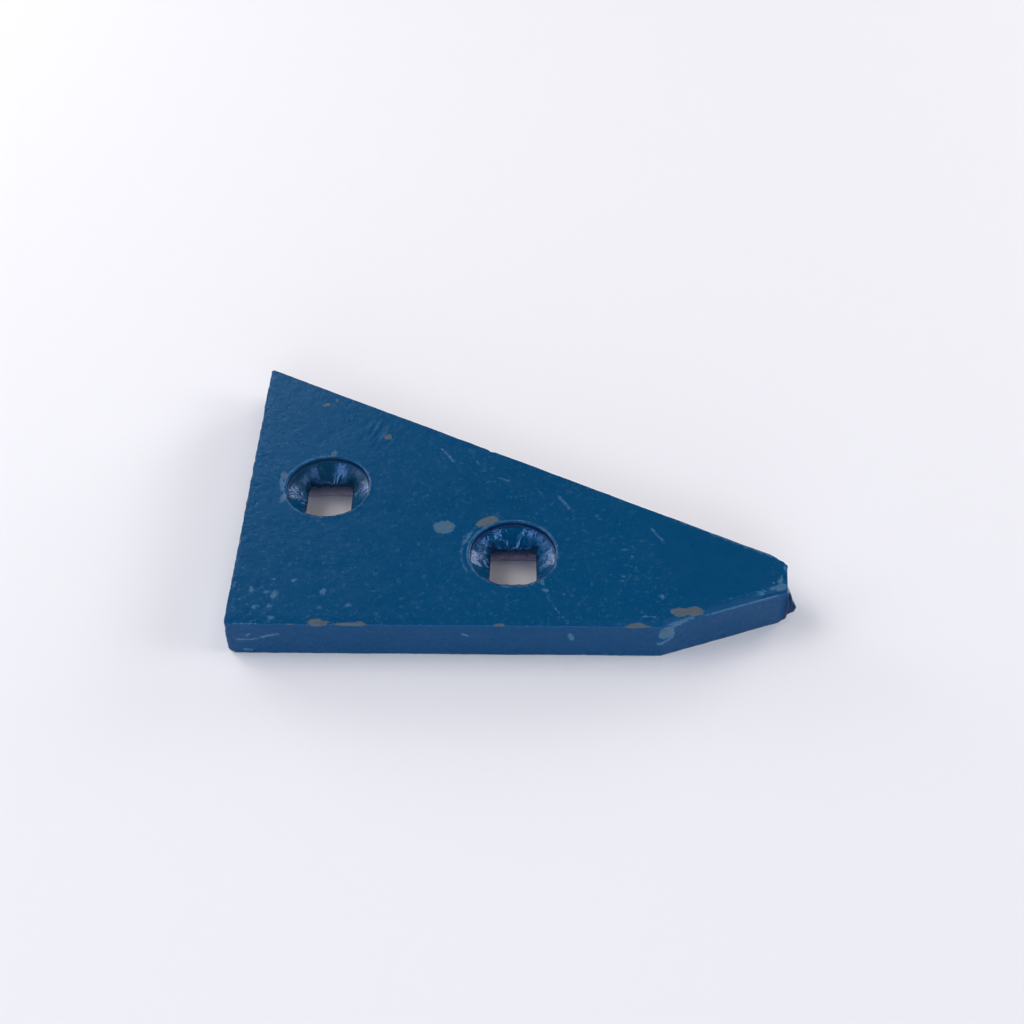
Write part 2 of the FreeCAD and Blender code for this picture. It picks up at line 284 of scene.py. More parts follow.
# Shallow dents: place, radius, depth
DENTS = [
    ((12.3, 9.9), 2.2, 0.10),
    ((6.0, 12.5), 1.6, 0.10),
    ((11.6, 6.4), 1.6, 0.12),
    ((26.4, 11.9), 1.8, 0.10),
    ((33.7, 6.8), 1.5, 0.08),
    ((59.4, 37.2), 3.2, 0.06),
    ((88.6, 14.8), 1.6, 0.10),
    ((111.0, 17.7), 1.2, 0.12),
    ((122.0, 10.7), 1.6, 0.08),
    ((131.1, 12.6), 0.8, 0.10),
    ((136.5, 24.1), 0.6, 0.12),
    ((40.2, 75.9), 1.8, 0.10),
    ((20.5, 91.4), 1.6, 0.08),
    ((128.1, 5.6), 3.6, 0.10),
]

# Plain chisel nicks below the slope, all cut the same way: both ends, width and depth
STROKES = [
    ((57.4, 70.6), (60.9, 65.4), 0.70, 0.15),
    ((68.0, 65.2), (70.6, 61.3), 0.60, 0.07),
    ((74.9, 58.2), (78.2, 56.8), 0.75, 0.13),
    ((86.2, 54.0), (88.9, 49.9), 0.60, 0.08),
    ((93.0, 50.4), (96.3, 45.3), 0.75, 0.16),
    ((103.4, 43.6), (105.3, 40.6), 0.60, 0.06),
    ((120.2, 37.2), (123.6, 31.9), 0.70, 0.15),
]

# How steeply dents and nicks fall away; the burr along a nick: where, how steep and how high
DENT_FALL = 1.6
NICK_FALL = 2.2
BURR_OUT = 1.5
BURR_FALL = 3
BURR_SHARE = 0.3

# Unevenness of the show face, of every wall and of the square end: depth, size, seed
FACE_WAVES = [(0.035, 22.0, 1), (0.018, 6.0, 2), (0.006, 1.8, 3)]
WALL_WAVES = [(0.07, 7.0, 7), (0.035, 1.6, 8)]
END_WAVES = [(0.13, 3.1, 9), (0.08, 0.9, 10)]

# Rollover: how far it may go on past the edge, and how sharply it bends
ROLLOVER_LIMIT = 1.2
ROLLOVER_BEND = 1.25
SHEARED_RAMP = (4.0, 1.5)

# Fold beside the slanted edge, near the tip: how far in and how wide, height, where along
RIDGE = (2.9, 0.9)
RIDGE_HEIGHT = 0.16
RIDGE_START = (26.0, 34.5)
GROOVE = (1.15, 0.5)
GROOVE_DEPTH = 0.36
GROOVE_START = (28.5, 34.0)
GROOVE_END = (38.2, 36.8)

# Paint that has run and wrinkled below the slope, and the pocks beside it: place and size, depth
WRINKLES = ((37, 78), (5.5, 4.5))
WRINKLES_DEPTH = 0.16
WRINKLES_LIE = np.array([[0.92, 0.39], [-0.39, 0.92]])
WRINKLES_STRETCH = (1.0, 0.25)
POCKS = ((31, 81), (7.0, 5.0))
POCKS_DEPTH = 0.20

# Faint drags of the brush along the plate, fainter towards the tip
DRAGS_DEPTH = 0.013
DRAGS_LEAST = 0.3
DRAGS_RAMP = (95, 45)
DRAGS_STRETCH = (0.3, 1.0)

# Pits beside the square end, and fewer of them in the front corner
PITS_DEPTH = 0.16
PITS_END = (16, 2)
CORNER_SHARE = 0.5
CORNER_ALONG = (60, 10)
CORNER_ACROSS = (30, 8)


def rolled(points):
    """How far the shear has pulled the show face down beside the front and slanted edges."""
    near = np.clip(1 - off_sheared(points) / ROLLOVER_WIDTH, 0, ROLLOVER_LIMIT)
    return ROLLOVER_DROP * near**ROLLOVER_BEND


def edge_drop(points):
    """Radius of the rounding along the show face's edge: smaller beside the slope and the end."""
    sheared = smooth(*SHEARED_RAMP, off_sheared(points))
    return SHARP_EDGE * (LEAST_EDGE + (1 - LEAST_EDGE) * sheared)


def tip_folds(points):
    """Ridge and groove pressed into the show face beside the slanted edge, close to the tip."""
    along, across = along_slant(points)
    groove = hump(across, *GROOVE) * smooth(*GROOVE_START, along)
    groove *= smooth(*GROOVE_END, along)
    ridge = hump(across, *RIDGE) * smooth(*RIDGE_START, along)
    return RIDGE_HEIGHT * ridge - GROOVE_DEPTH * groove


def face_height(points):
    """Height of the show face above its nominal plane, in millimetres."""
    x = points[:, 0]
    y = points[:, 1]
    height = waves(points, FACE_WAVES)
    wrinkles = wobble(points @ WRINKLES_LIE * WRINKLES_STRETCH, 1.2, 4)
    height += WRINKLES_DEPTH * patch(points, *WRINKLES) * wrinkles
    height -= POCKS_DEPTH * patch(points, *POCKS) * pits(points, 0.8, 15, 0.3)
    dragged = DRAGS_LEAST + (1 - DRAGS_LEAST) * smooth(*DRAGS_RAMP, x)
    height += DRAGS_DEPTH * dragged * wobble(points * DRAGS_STRETCH, 1.1, 5)
    in_corner = smooth(*CORNER_ALONG, x) * smooth(*CORNER_ACROSS, y)
    pitted = smooth(*PITS_END, x) + CORNER_SHARE * in_corner
    height -= PITS_DEPTH * pitted * pits(points, 0.9, 14, 0.5)
    for place, radius, depth in DENTS:
        far = off_point(points, place) / radius
        height -= depth * np.exp(-(far**2) * DENT_FALL)
    for start, stop, width, depth in STROKES:
        far = off_segment(points, start, stop) / width
        height -= depth * np.exp(-(far**2) * NICK_FALL)
        height += BURR_SHARE * depth * np.exp(-((far - BURR_OUT) ** 2) * BURR_FALL)
    height += tip_folds(points)
    return height - rolled(points)


# Wedge broken off under the lip: where it starts, as a share of its length; how gently it ends
# across the plate; how much higher than the solid's it may rise. Here and below, what wavers is
# given by its mean, its unevenness, the size of the lumps and a seed.
CRUMBLE_START = 0.3
CRUMBLE_EASE = 0.8
CRUMBLE_RISE = 0.4
CRUMBLE_ROUGH = (1, 0.25, 1.1, 6)


def back_height(points):
    """Height of the back above the floor: flat, but for the wedge broken off under the lip."""
    start = TIP_REACH - CRUMBLE_ALONG * CRUMBLE_START
    rise = CRUMBLE_HEIGHT * (points[:, 0] - start) / (TIP_REACH - start)
    end = TIP_SET_BACK + CRUMBLE_DEPTH
    deep = smooth(end + CRUMBLE_EASE, end - CRUMBLE_EASE, points[:, 1])
    rise = np.clip(rise, 0, CRUMBLE_HEIGHT + CRUMBLE_RISE)
    return rise * deep * uneven(points, *CRUMBLE_ROUGH)


# Square end: where its rough cut starts, its belly as rows of height and reach, its set-back
END_RAMP = (1.2, 0.0)
END_BELLY = [(0, 0.1), (1, 0.34), (3, 0.42), (4.5, 0.42), (9, 0.18), (13, 0.0)]
END_SET_BACK = 0.05

# Notch in the slope's upper edge, and the ragged corner where the slope meets the tip
NOTCH_PLACE = (72.6, 69.8)
NOTCH_RADIUS = 0.8
NOTCH_DEPTH = 0.45
NOTCH_HEIGHTS = (6, 12)
RAGGED_PLACE = (156.6, 24.6)
RAGGED_RADIUS = 2.6
RAGGED_REACH = (0.28, 0.3, 1.5, 11)

# Torn lip, behind the tip's corner: where it starts, how it leans with height, where it fades
LIP_AT_TIP = (-3, -0.5)
LIP_START = (0.60, 0.90)
LIP_LEAN = 0.05
LIP_SHIFT = 0.2
LIP_FADE = (LIP_WIDTH + 0.6, 1.6)
LIP_ROUGH = (1, 0.10, 1.3, 12)

# The tip's corner swells: radius, reach, and rows of height and share
SWELL_RADIUS = 0.62
SWELL_REACH = 0.95
SWELL_PROFILE = [(0, 0.0), (2, 0.5), (5, 1.0), (8.5, 0.8), (11, 0.4), (12.6, 0.0)]

# Slit between the corner and the lip: how far behind the corner and how wide; depth, heights
SLIT = (0.62, 0.17)
SLIT_DEPTH = 1.3
SLIT_FOOT = (5.5, 7.5)
SLIT_TOP = (11.9, 10.6)

# Torn band across the lower half of the tip: where it starts along and up, and its reach
BAND_ALONG = (-0.4, 0.1)
BAND_FOOT = (0, 1.5)
BAND_TOP = (9.5, 6.5)
BAND_REACH = (0.2, 0.3, 1.8, 13)


def edge_push(points, heights):
    """How far the sheared edge stands out from the outline at each point of its wall."""
    past = points[:, 0] - TIP_REACH
    behind = points[:, 1] - TIP_SET_BACK
    solid = np.column_stack([points, heights])
    push = waves(solid, WALL_WAVES)
    # the square end is the roughest cut, and it bulges below the middle
    bulge = profile(heights, END_BELLY) + waves(solid, END_WAVES) - END_SET_BACK
    push += smooth(*END_RAMP, points[:, 0]) * bulge
    notch = hump(off_point(points, NOTCH_PLACE), 0, NOTCH_RADIUS)
    push -= NOTCH_DEPTH * notch * smooth(*NOTCH_HEIGHTS, heights)
    ragged = hump(off_point(points, RAGGED_PLACE), 0, RAGGED_RADIUS)
    push += ragged * uneven(solid, *RAGGED_REACH)
    # the torn lip stands out sharply just behind the slanted edge and fades behind it
    at_tip = smooth(*LIP_AT_TIP, past)
    start = smooth(*LIP_START, behind + LIP_LEAN * heights - LIP_SHIFT)
    lip = LIP_REACH * at_tip * start * smooth(*LIP_FADE, behind) * profile(heights, LIP_PROFILE)
    push += lip * uneven(solid, *LIP_ROUGH)
    # the corner beside it swells, and a slit parts the two
    swell = hump(off_point(points, CORNERS[TIP_SIDE]), 0, SWELL_RADIUS)
    push += SWELL_REACH * swell * profile(heights, SWELL_PROFILE)
    slit = hump(behind, *SLIT) * smooth(*SLIT_FOOT, heights)
    push -= SLIT_DEPTH * at_tip * slit * smooth(*SLIT_TOP, heights)
    band = smooth(*BAND_ALONG, past) * smooth(*BAND_TOP, heights) * smooth(*BAND_FOOT, heights)
    return push + band * uneven(solid, *BAND_REACH) * np.clip(1 - lip, 0, 1)


# The skin is gathered piece by piece: points, and faces that name them

# How close the filling of a face may come to two points before it makes them one
MERGE_REACH = 1e-7


class Skin:
    """Points and faces of one closed mesh."""

    def __init__(self):
        self.points = []
        self.faces = []
        self.count = 0

    def add(self, points):
        """Add points; returns their numbers."""
        points = np.asarray(points, float)
        self.points.append(points)
        numbers = np.arange(self.count, self.count + len(points))
        self.count += len(points)
        return numbers

    def strip(self, first, second):
        """Quads between two closed rings of as many points."""
        first_next = np.roll(first, -1)
        second_next = np.roll(second, -1)
        self.faces.extend(np.column_stack([first, first_next, second_next, second]).tolist())

    def sheet(self, rings, ring_points, inner, height, keep):
        """Triangles that fill the space between closed rings, through the inner points."""
        flat = np.vstack(ring_points + [inner])
        edges = []
        start = 0
        for ring in ring_points:
            size = len(ring)
            edges += [(start + i, start + (i + 1) % size) for i in range(size)]
            start += size
        added = self.add(np.column_stack([inner, height(inner)]))
        numbers = np.concatenate(list(rings) + [added])
        out = delaunay_2d_cdt([Vector(p) for p in flat], edges, [], 0, MERGE_REACH)
        origin = [source[0] for source in out[3]]
        corners = np.array([[origin[i] for i in face] for face in out[2]])
        middles = flat[corners].mean(axis=1)
        self.faces.extend(numbers[corners[keep(middles)]].tolist())

    def mesh(self, name):
        """The finished mesh, in metres, in the part's own frame, with outward normals."""
        points = np.vstack(self.points)
        placed = (points + [CORNER_X, CORNER_Y, 0]) * MM
        mesh = bpy.data.meshes.new(name)
        mesh.from_pydata(placed.tolist(), [], self.faces)
        whole = bmesh.new()
        whole.from_mesh(mesh)
        bmesh.ops.recalc_face_normals(whole, faces=whole.faces)
        whole.to_mesh(mesh)
        whole.free()
        return mesh, points


# The grid: how far past the tip it goes; as shares of its step, how close its rows are and how
# far each point moves
GRID_PAST_TIP = 2
GRID_ROW = 0.87
GRID_SHIFT = 0.12
GRID_SEED = 5
# Free space between the grid and the rings round it, as a share of the step
GRID_ROOM = 0.6

HOLES = (UPPER_HOLE, LOWER_HOLE)


def grid(step):
    """Staggered points over the whole plate, each moved a little so that no pattern shows."""
    across = np.arange(0, TIP_REACH + GRID_PAST_TIP, step)
    up = np.arange(0, SQUARE_END, step * GRID_ROW)
    x, y = np.meshgrid(across, up)
    x[1::2] += step / 2
    points = np.column_stack([x.ravel(), y.ravel()])
    mover = np.random.default_rng(GRID_SEED)
    return points + mover.uniform(-GRID_SHIFT, GRID_SHIFT, points.shape) * step


def clear_of_holes(points, radius):
    """Which points lie outside a circle round each bolt hole."""
    keep = np.ones(len(points), bool)
    for hole in HOLES:
        keep &= off_point(points, hole) > radius
    return keep


def on_rim_side(middles):
    """Which triangles of the show face or the back lie clear of the holes and the edge rings."""
    return inside_outline(middles, FACE_BLEND + SLIVER) & clear_of_holes(middles, RIM_BLEND)


TURNS = np.arange(HOLE_STEPS) * 2 * math.pi / HOLE_STEPS
HOLE_RAYS = np.column_stack([np.cos(TURNS), np.sin(TURNS)])


def square_reach(half, corner):
    """Distance from the middle of a round-cornered square to its edge, along each ray."""
    c = np.abs(HOLE_RAYS[:, 0])
    s = np.abs(HOLE_RAYS[:, 1])
    reach = half / np.maximum(c, s)
    hub = half - corner
    rounded = (reach * c > hub) & (reach * s > hub)
    inside = np.clip(corner**2 - ((c - s) * hub) ** 2, 0, None)
    return np.where(rounded, (c + s) * hub + np.sqrt(inside), reach)


def hole_waves(radius, rows, seed, height=0):
    """Unevenness round a hole, from rows of depth, height, size of the lumps and seed."""
    total = 0
    for depth, level, lump, number in rows:
        around = HOLE_RAYS * np.reshape(radius, (-1, 1))
        solid = np.column_stack([around, np.full(HOLE_STEPS, height + level)])
        total = total + depth * wobble(solid, lump, seed + number)
    return total


# Rings round a hole: radii on the show face, turns in degrees round the rim's edge, shares of
# the way down the land, the cone, the neck and the breakout, and radii on the back
FACE_RINGS = (RIM_BLEND, 15.4, 14.9, 14.5, 14.1, 13.75, 13.45, 13.2, 13.0, 12.8, 12.68)
RIM_TURNS = (30, 60, 90)
LAND_RINGS = (0.25, 0.5, 0.75, 1.0)
CONE_RINGS = np.linspace(0.02, 1, 18) ** 1.05
NECK_RINGS = (0.12, 0.35, 0.65, 0.9, 1.0)
BREAKOUT_RINGS = np.linspace(0.05, 1, 12)
BACK_RINGS = (13.2, RIM_BLEND)

# Bead raised round the rim, and a faint ring pressed round its left side: radius and half width,
# height; how far round the ring goes
BEAD = (RIM_RADIUS + 0.5, 0.30)
BEAD_HEIGHT = 0.14
PRESS = (RIM_RADIUS + 2.1, 0.5)
PRESS_HEIGHT = 0.07
PRESS_ARC = hump(TURNS, math.radians(172), 0.75)

# Roughness of the rim, the neck's torn edge, the cone and its foot, the neck and the breakout
RIM_ROUGH = [(0.05, 0, 2.2, 0)]
TORN = [(0.10, 0, 1.3, 1), (0.14, 3, 0.6, 2)]
TORN_LIMITS = (-0.22, 0.3)
TORN_AT = (8, 10)
HAMMERED = [(0.18, 0, 2.6, 3), (0.11, 5, 0.8, 4)]
DRAGGED = [(0.04, 0, 0.9, 9)]
RAGGED_FOOT = [(0.45, 6, 0.8, 5)]
NECK_ROUGH = [(0.06, 0, 0.9, 6)]
BREAKOUT_ROUGH = [(0.22, 0, 1.7, 7), (0.09, 0, 0.6, 8)]
# groove along the land's foot: radius, half width and depth
LAND_GROOVE = (RIM_RADIUS, 0.7)
LAND_GROOVE_DEPTH = 0.10
# share of the tearing left on the near side, and of the hammering that is lost there; where the
# far side, the near side, the even part of the cone and its corners start and are complete
NEAR_TORN = 0.06
NEAR_CALM = 0.8
FAR_RAMP = (-0.2, 0.5)
NEAR_SIDE_RAMP = (-0.35, -0.85)
EVEN_RAMP = (0.1, 0.5)
CORNERED_RAMP = (0.45, 1.0)


def make_hole(skin, centre, seed, press, calm):
    """One bolt hole, from the show face down to the back; returns its first and last rings."""
    centre = np.array(centre)
    ahead = HOLE_RAYS[:, 1]
    rings = []

    def add_ring(radius, height):
        places = centre + HOLE_RAYS * np.reshape(radius, (-1, 1))
        rings.append(skin.add(np.column_stack([places, np.broadcast_to(height, HOLE_STEPS)])))

    for radius in FACE_RINGS:
        bead = BEAD_HEIGHT * hump(radius, *BEAD)
        pressed = PRESS_HEIGHT * press * hump(radius, *PRESS) * PRESS_ARC
        add_ring(radius, THICK + face_height(centre + HOLE_RAYS * radius) + bead + pressed)
    rough_rim = hole_waves(RIM_RADIUS, RIM_ROUGH, seed)
    rim_height = THICK + face_height(centre + HOLE_RAYS * RIM_RADIUS)
    for turn in RIM_TURNS:
        bend = math.radians(turn)
        inset = RIM_EDGE * (1 - math.sin(bend))
        add_ring(RIM_RADIUS + inset + rough_rim, rim_height - RIM_EDGE * (1 - math.cos(bend)))
    for part in LAND_RINGS:
        add_ring(RIM_RADIUS + rough_rim, rim_height - RIM_EDGE - (RIM_LAND - RIM_EDGE) * part)

    # cone down to the neck: hammered, dragged by the punch, and torn where it broke through
    torn = np.clip(hole_waves(TORN_AT[0], TORN, seed), *TORN_LIMITS)
    far_side = NEAR_TORN + (1 - NEAR_TORN) * smooth(*FAR_RAMP, ahead)
    neck = square_reach(NECK_HALF, NECK_CORNER) + torn * far_side
    dragged = hole_waves(TORN_AT[1], DRAGGED, seed)
    near_side = smooth(*NEAR_SIDE_RAMP, ahead)
    cornered = smooth(*CORNERED_RAMP, np.abs(2 * HOLE_RAYS[:, 0] * ahead))
    for part in CONE_RINGS:
        radius = RIM_RADIUS + (neck - RIM_RADIUS) * part
        hammered = hole_waves(radius, HAMMERED, seed)
        hammered *= 1 - NEAR_CALM * near_side - calm * smooth(*EVEN_RAMP, ahead)
        groove = LAND_GROOVE_DEPTH * hump(radius, *LAND_GROOVE)
        ragged = part**8 * hole_waves(TORN_AT[0], RAGGED_FOOT, seed) * far_side
        ragged -= part**3 * cornered
        slope = (RIM_RADIUS - radius) * CONE_SLOPE
        level = THICK - RIM_LAND - slope + (hammered + dragged) * part**0.5
        add_ring(radius, level - groove + ragged)
    cone_foot = skin.points[-1][:, 2]

    # neck, then the breakout that widens towards the back
    for part in NECK_RINGS:
        rough = hole_waves(neck, NECK_ROUGH, seed, part * 3)
        add_ring(neck + rough * far_side, cone_foot + (BREAKOUT_HEIGHT - cone_foot) * part)
    for part in BREAKOUT_RINGS:
        half = NECK_HALF + BREAKOUT_FLARE * part**0.9
        corner = NECK_CORNER + BREAKOUT_FLARE * part
        rough = hole_waves(neck, BREAKOUT_ROUGH, seed, part * 6)
        add_ring(square_reach(half, corner) + rough * (1 - part**6), BREAKOUT_HEIGHT * (1 - part))
    for radius in BACK_RINGS:
        add_ring(radius, 0)
    for above, below in zip(rings, rings[1:]):
        skin.strip(above, below)
    return rings[0], rings[-1]


# Rings along the outline: how far in on the show face, turns in degrees round its edge and round
# the heel, how far in on the back; how the walls' roughness fades inwards, and where the heel is
OUTER_RINGS = (FACE_BLEND, 3.4, 2.95, 2.7, 2.5, 2.1, 1.6, 1.2, 0.9, 0.62, 0.4, SHARP_EDGE)
EDGE_TURNS = (25, 50, 75)
HEEL_TURNS = (20, 40, 60, 80, 90)
UNDER_RINGS = (1.9, 2.7, FACE_BLEND)
PUSH_RAMP = (FACE_BLEND, 0.3)
HEEL_RAMP = (2.0, 0.4)

# The holes: place, seed, how hard the ring beside it is pressed, how even its far cone is
HOLE_KINDS = [(UPPER_HOLE, 20, 0.3, 0.75), (LOWER_HOLE, 40, 1.0, 0.0)]


def make_plate():
    """The whole skin of the plate."""
    skin = Skin()
    rings = []

    def add_ring(places, normals, levels, push):
        places = places + normals * np.reshape(push, (-1, 1))
        rings.append(skin.add(np.column_stack([places, levels])))

    # show face, from the blend line out to the edge
    outer, _ = outline_ring(FACE_BLEND)
    for inset in OUTER_RINGS:
        places, normals = outline_ring(inset)
        levels = THICK + face_height(places)
        push = edge_push(places, levels) * smooth(*PUSH_RAMP, inset)
        add_ring(places, normals, levels, push)
    for turn in EDGE_TURNS:
        bend = math.radians(turn)
        places, normals = outline_ring(SHARP_EDGE * (1 - math.sin(bend)))
        levels = THICK + face_height(places) - edge_drop(places) * (1 - math.cos(bend))
        add_ring(places, normals, levels, edge_push(places, levels))

    # wall, from the top edge down to the bottom edge, round at the square end's heel
    base, normals = outline_ring(0)
    wall_top = THICK + face_height(base) - edge_drop(base)
    wall_foot = back_height(base)
    foot_bend = SHARP_EDGE + (HEEL_ROUND - SHARP_EDGE) * smooth(*HEEL_RAMP, base[:, 0])
    rows = int(THICK / EDGE_STEP)
    for row in range(rows + 1):
        levels = wall_top + (wall_foot + foot_bend - wall_top) * (row / rows)
        add_ring(base, normals, levels, edge_push(base, levels))
    for turn in HEEL_TURNS:
        bend = math.radians(turn)
        levels = wall_foot + foot_bend * (1 - math.sin(bend))
        inset = foot_bend * (1 - math.cos(bend))
        add_ring(base, normals, levels, edge_push(base, levels) - inset)

    # back
    for inset in UNDER_RINGS:
        places, normals = outline_ring(inset)
        levels = back_height(places)
        push = edge_push(places, levels) * smooth(*PUSH_RAMP, inset)
        add_ring(places, normals, levels, push)
    for above, below in zip(rings, rings[1:]):
        skin.strip(above, below)

    hole_rings = [make_hole(skin, *kind) for kind in HOLE_KINDS]
    circles = [np.array(hole) + HOLE_RAYS * RIM_BLEND for hole in HOLES]

    def fill(outer_ring, inner_rings, step, height):
        inner = grid(step)
        room = step * GRID_ROOM
        keep = inside_outline(inner, FACE_BLEND + room) & clear_of_holes(inner, RIM_BLEND + room)
        loops = [outer_ring, *inner_rings]
        skin.sheet(loops, [outer, *circles], inner[keep], height, on_rim_side)

    upper, lower = hole_rings
    fill(rings[0], (upper[0], lower[0]), GRID_STEP, lambda p: THICK + face_height(p))
    fill(rings[-1], (upper[1], lower[1]), BACK_STEP, back_height)
    return skin.mesh("landside_skin")


# Where the paint has gone, and where it is rubbed

# Bare spots on the show face: place, half length, half width, and turn in degrees if it has one
SHOW_CHIPS = [
    ((126.7, 5.2), 2.8, 1.5, 6),
    ((130.5, 5.5), 2.8, 1.55, 2),
    ((60.8, 37.9), 0.9, 0.5,),
    ((114.4, 0.3), 3.4, 0.9, 2),
    ((71.9, 39.7), 3.7, 1.55, 27),
    ((24.1, 67.9), 0.8, 1.0,),
    ((10.0, 58.6), 0.7, 1.1, 10),
    ((10.7, 48.6), 0.5, 1.3, -12),
    ((19.6, 90.8), 1.2, 0.8, 20),
    ((22.6, 93.0), 0.7, 0.6,),
    ((40.2, 75.9), 1.2, 1.2,),
    ((26.0, 0.3), 2.8, 1.5,),
    ((33.9, 0.2), 3.6, 0.5,),
    ((37.6, 0.3), 1.8, 0.9,),
    ((76.5, 0.0), 1.8, 0.7,),
    ((0.0, 17.0), 0.35, 1.6,),
    ((0.1, 31.0), 0.45, 1.2,),
    ((0.0, 47.0), 0.40, 2.4,),
    ((0.1, 58.5), 0.5, 1.3,),
    ((0.0, 66.0), 0.35, 2.2,),
    ((0.1, 83.0), 0.4, 1.4,),
    ((18.4, 0.1), 1.0, 0.14,),
]

# Bare spots on the front and slanted edges: place along the front edge, height, half sizes
WALL_CHIPS = [
    ((122.1, 11.0), 0.9, 0.8),
    ((26.0, 12.6), 2.8, 0.85),
    ((35.6, 12.5), 3.6, 0.6),
    ((114.4, 12.5), 3.2, 0.5),
]

# Patches on the same edges rubbed down to a thin film: place along, height, half sizes
WALL_RUBS = [
    ((122.8, 10.0), 2.4, 2.9),
    ((121.6, 8.4), 1.3, 1.3),
    ((124.3, 8.6), 1.2, 1.4),
]

# Pale rubs on the show face, given in the same way
SHOW_RUBS = [
    ((6.0, 12.5), 0.7, 1.5, 5),
    ((12.6, 10.6), 1.6, 2.2,),
    ((10.4, 11.4), 0.9, 0.9,),
    ((12.1, 16.3), 0.9, 0.9,),
    ((17.8, 16.0), 1.2, 0.7,),
    ((7.6, 5.8), 0.9, 0.9,),
    ((13.0, 2.2), 1.4, 0.9,),
    ((25.9, 6.0), 1.0, 0.8,),
    ((33.7, 6.8), 1.2, 0.8,),
    ((5.6, 7.0), 0.4, 0.5,),
    ((111.4, 18.5), 0.9, 0.4,),
    ((110.7, 16.7), 0.8, 0.4,),
    ((114.0, 26.2), 0.5, 0.5,),
    ((122.0, 10.7), 0.6, 1.4, 10),
    ((131.1, 12.6), 0.4, 0.4,),
    ((136.5, 24.1), 0.3, 0.3,),
    ((88.4, 15.6), 0.7, 1.2, 20),
    ((89.2, 12.6), 0.7, 0.4,),
    ((155.6, 17.0), 1.1, 1.7, -10),
    ((156.2, 18.6), 0.5, 0.9,),
    ((153.4, 16.2), 0.8, 0.5, 30),
    ((127.6, 2.7), 2.2, 0.5, 12),
    ((124.4, 6.3), 1.6, 0.4, 25),
    ((11.6, 6.4), 1.3, 1.1, 20),
    ((157.5, 21.8), 0.6, 1.8,),
    ((24.1, 68.6), 1.6, 1.0,),
    ((9.4, 56.0), 0.8, 4.5,),
    ((66.6, 33.0), 0.7, 4.2, -24),
    ((72.6, 40.3), 4.6, 2.1, 27),
    ((117.5, 3.5), 4.0, 0.3,),
    ((111.8, 28.8), 2.6, 0.16, -4),
]

# Rubs that go down to a thin pale film all over; after the turn, how steeply they do
SOLID_RUBS = [
    ((59.4, 37.2), 3.5, 2.8, 5, 4.0),
    ((155.6, 14.8), 2.5, 1.2, 14, 1.45),
    ((153.3, 14.3), 1.5, 0.6, 22, 1.25),
    ((9.9, 58.3), 1.1, 2.3, 10, 1.7),
    ((10.7, 48.8), 1.0, 2.6, -12, 1.6),
    ((9.9, 53.4), 0.7, 2.4, 0, 1.3),
    ((124.8, 1.5), 2.9, 0.42, 20, 1.6),
    ((128.6, 3.2), 2.0, 0.45, 14, 1.5),
    ((88.2, 15.9), 0.6, 1.4, 12, 2.0),
    ((89.0, 13.0), 1.2, 0.6, 0, 2.0),
    ((26.3, 12.0), 1.3, 0.6, 45, 2.1),
    ((6.1, 12.4), 0.7, 1.2, 5, 2.1),
    ((11.7, 6.5), 0.9, 0.7, 0, 1.6),
]

# Hairlines on the show face: the creases beside the ridges, and a run in the paint
FACE_LINES = [
    ((131.5, 6.9), (146.0, 12.1), 0.21),
    ((146.6, 12.4), (148.4, 12.9), 0.28),
    ((148.3, 11.9), (149.3, 13.0), 0.26),
    ((149.7, 12.3), (150.4, 13.7), 0.30),
    ((151.0, 12.9), (151.7, 14.1), 0.30),
    ((152.1, 13.6), (152.9, 14.5), 0.28),
    ((145.0, 10.6), (150.5, 12.2), 0.16),
    ((2.5, 0.15), (9.0, 0.15), 0.20),
    ((88.4, 13.4), (90.6, 8.0), 0.18),
    ((90.6, 8.0), (95.4, 0.6), 0.16),
]

# Scratches on the front edge: both ends, as place along it and height; width
WALL_SCRATCHES = [
    ((3.0, 5.9), (7.4, 6.0), 0.40),
    ((7.4, 6.1), (10.5, 6.8), 0.25),
    ((10.0, 7.2), (14.6, 8.2), 0.45),
    ((5.8, 7.6), (6.5, 8.2), 0.50),
    ((4.3, 1.6), (6.6, 1.3), 0.40),
    ((66.0, 8.9), (67.4, 8.2), 0.50),
    ((96.0, 8.9), (96.4, 7.2), 0.75),
    ((120.7, 5.3), (121.7, 5.6), 0.60),
    ((121.7, 5.6), (124.6, 6.9), 0.45),
    ((124.9, 12.0), (126.6, 12.2), 0.65),
    ((126.4, 12.2), (128.8, 12.6), 0.40),
]


# How deep the face's and the walls' states go; how far from its middle a hole's inside reaches
FACE_DEPTH = 1.0
WALL_DEPTH = 0.6
HOLE_REACH = 13.5

# Paint that has run into the far side of a breakout, further on the left: where, how far at
# least, how much further, how evenly; how far above the breakout and how steeply it is bare
RUN_FAR = (3.0, 6.0)
RUN_LEFT = (3, -5)
RUN_LEAST = 0.55
RUN_MORE = 0.75
RUN_ROUGH = (1, 0.5, 1.2, 17)
BARE_ABOVE = 0.1
BARE_ROOM = 0.4
BARE_STEEP = 2

# Films: what a solid rub starts from, how steep a wall's is, and the most that either comes to
FILM_START = 0.05
FILM_MOST = 1.35
WALL_FILM_STEEP = 2.4
WALL_FILM_MOST = 1.12

# Arc rubbed to the left of the lower hole: radius and half width, lie and span in radians
ARC = (14.9, 1.3)
ARC_LIE = 0.1
ARC_SPAN = (1.1, 0.5)
ARC_GAIN = 0.62
ARC_LOSS = 0.25

# Beads painted pale as their highlight: each hole's strength; radius and half width, steepness,
# patchiness
BEAD_HIGHLIGHTS = [(UPPER_HOLE, 0.42), (LOWER_HOLE, 0.54)]
BEAD_HIGHLIGHT = (RIM_RADIUS + 0.55, 0.32)
BEAD_HIGHLIGHT_STEEP = 1.6
BEAD_HIGHLIGHT_PATCHES = (0.8, 0.5, 3.0, 18)

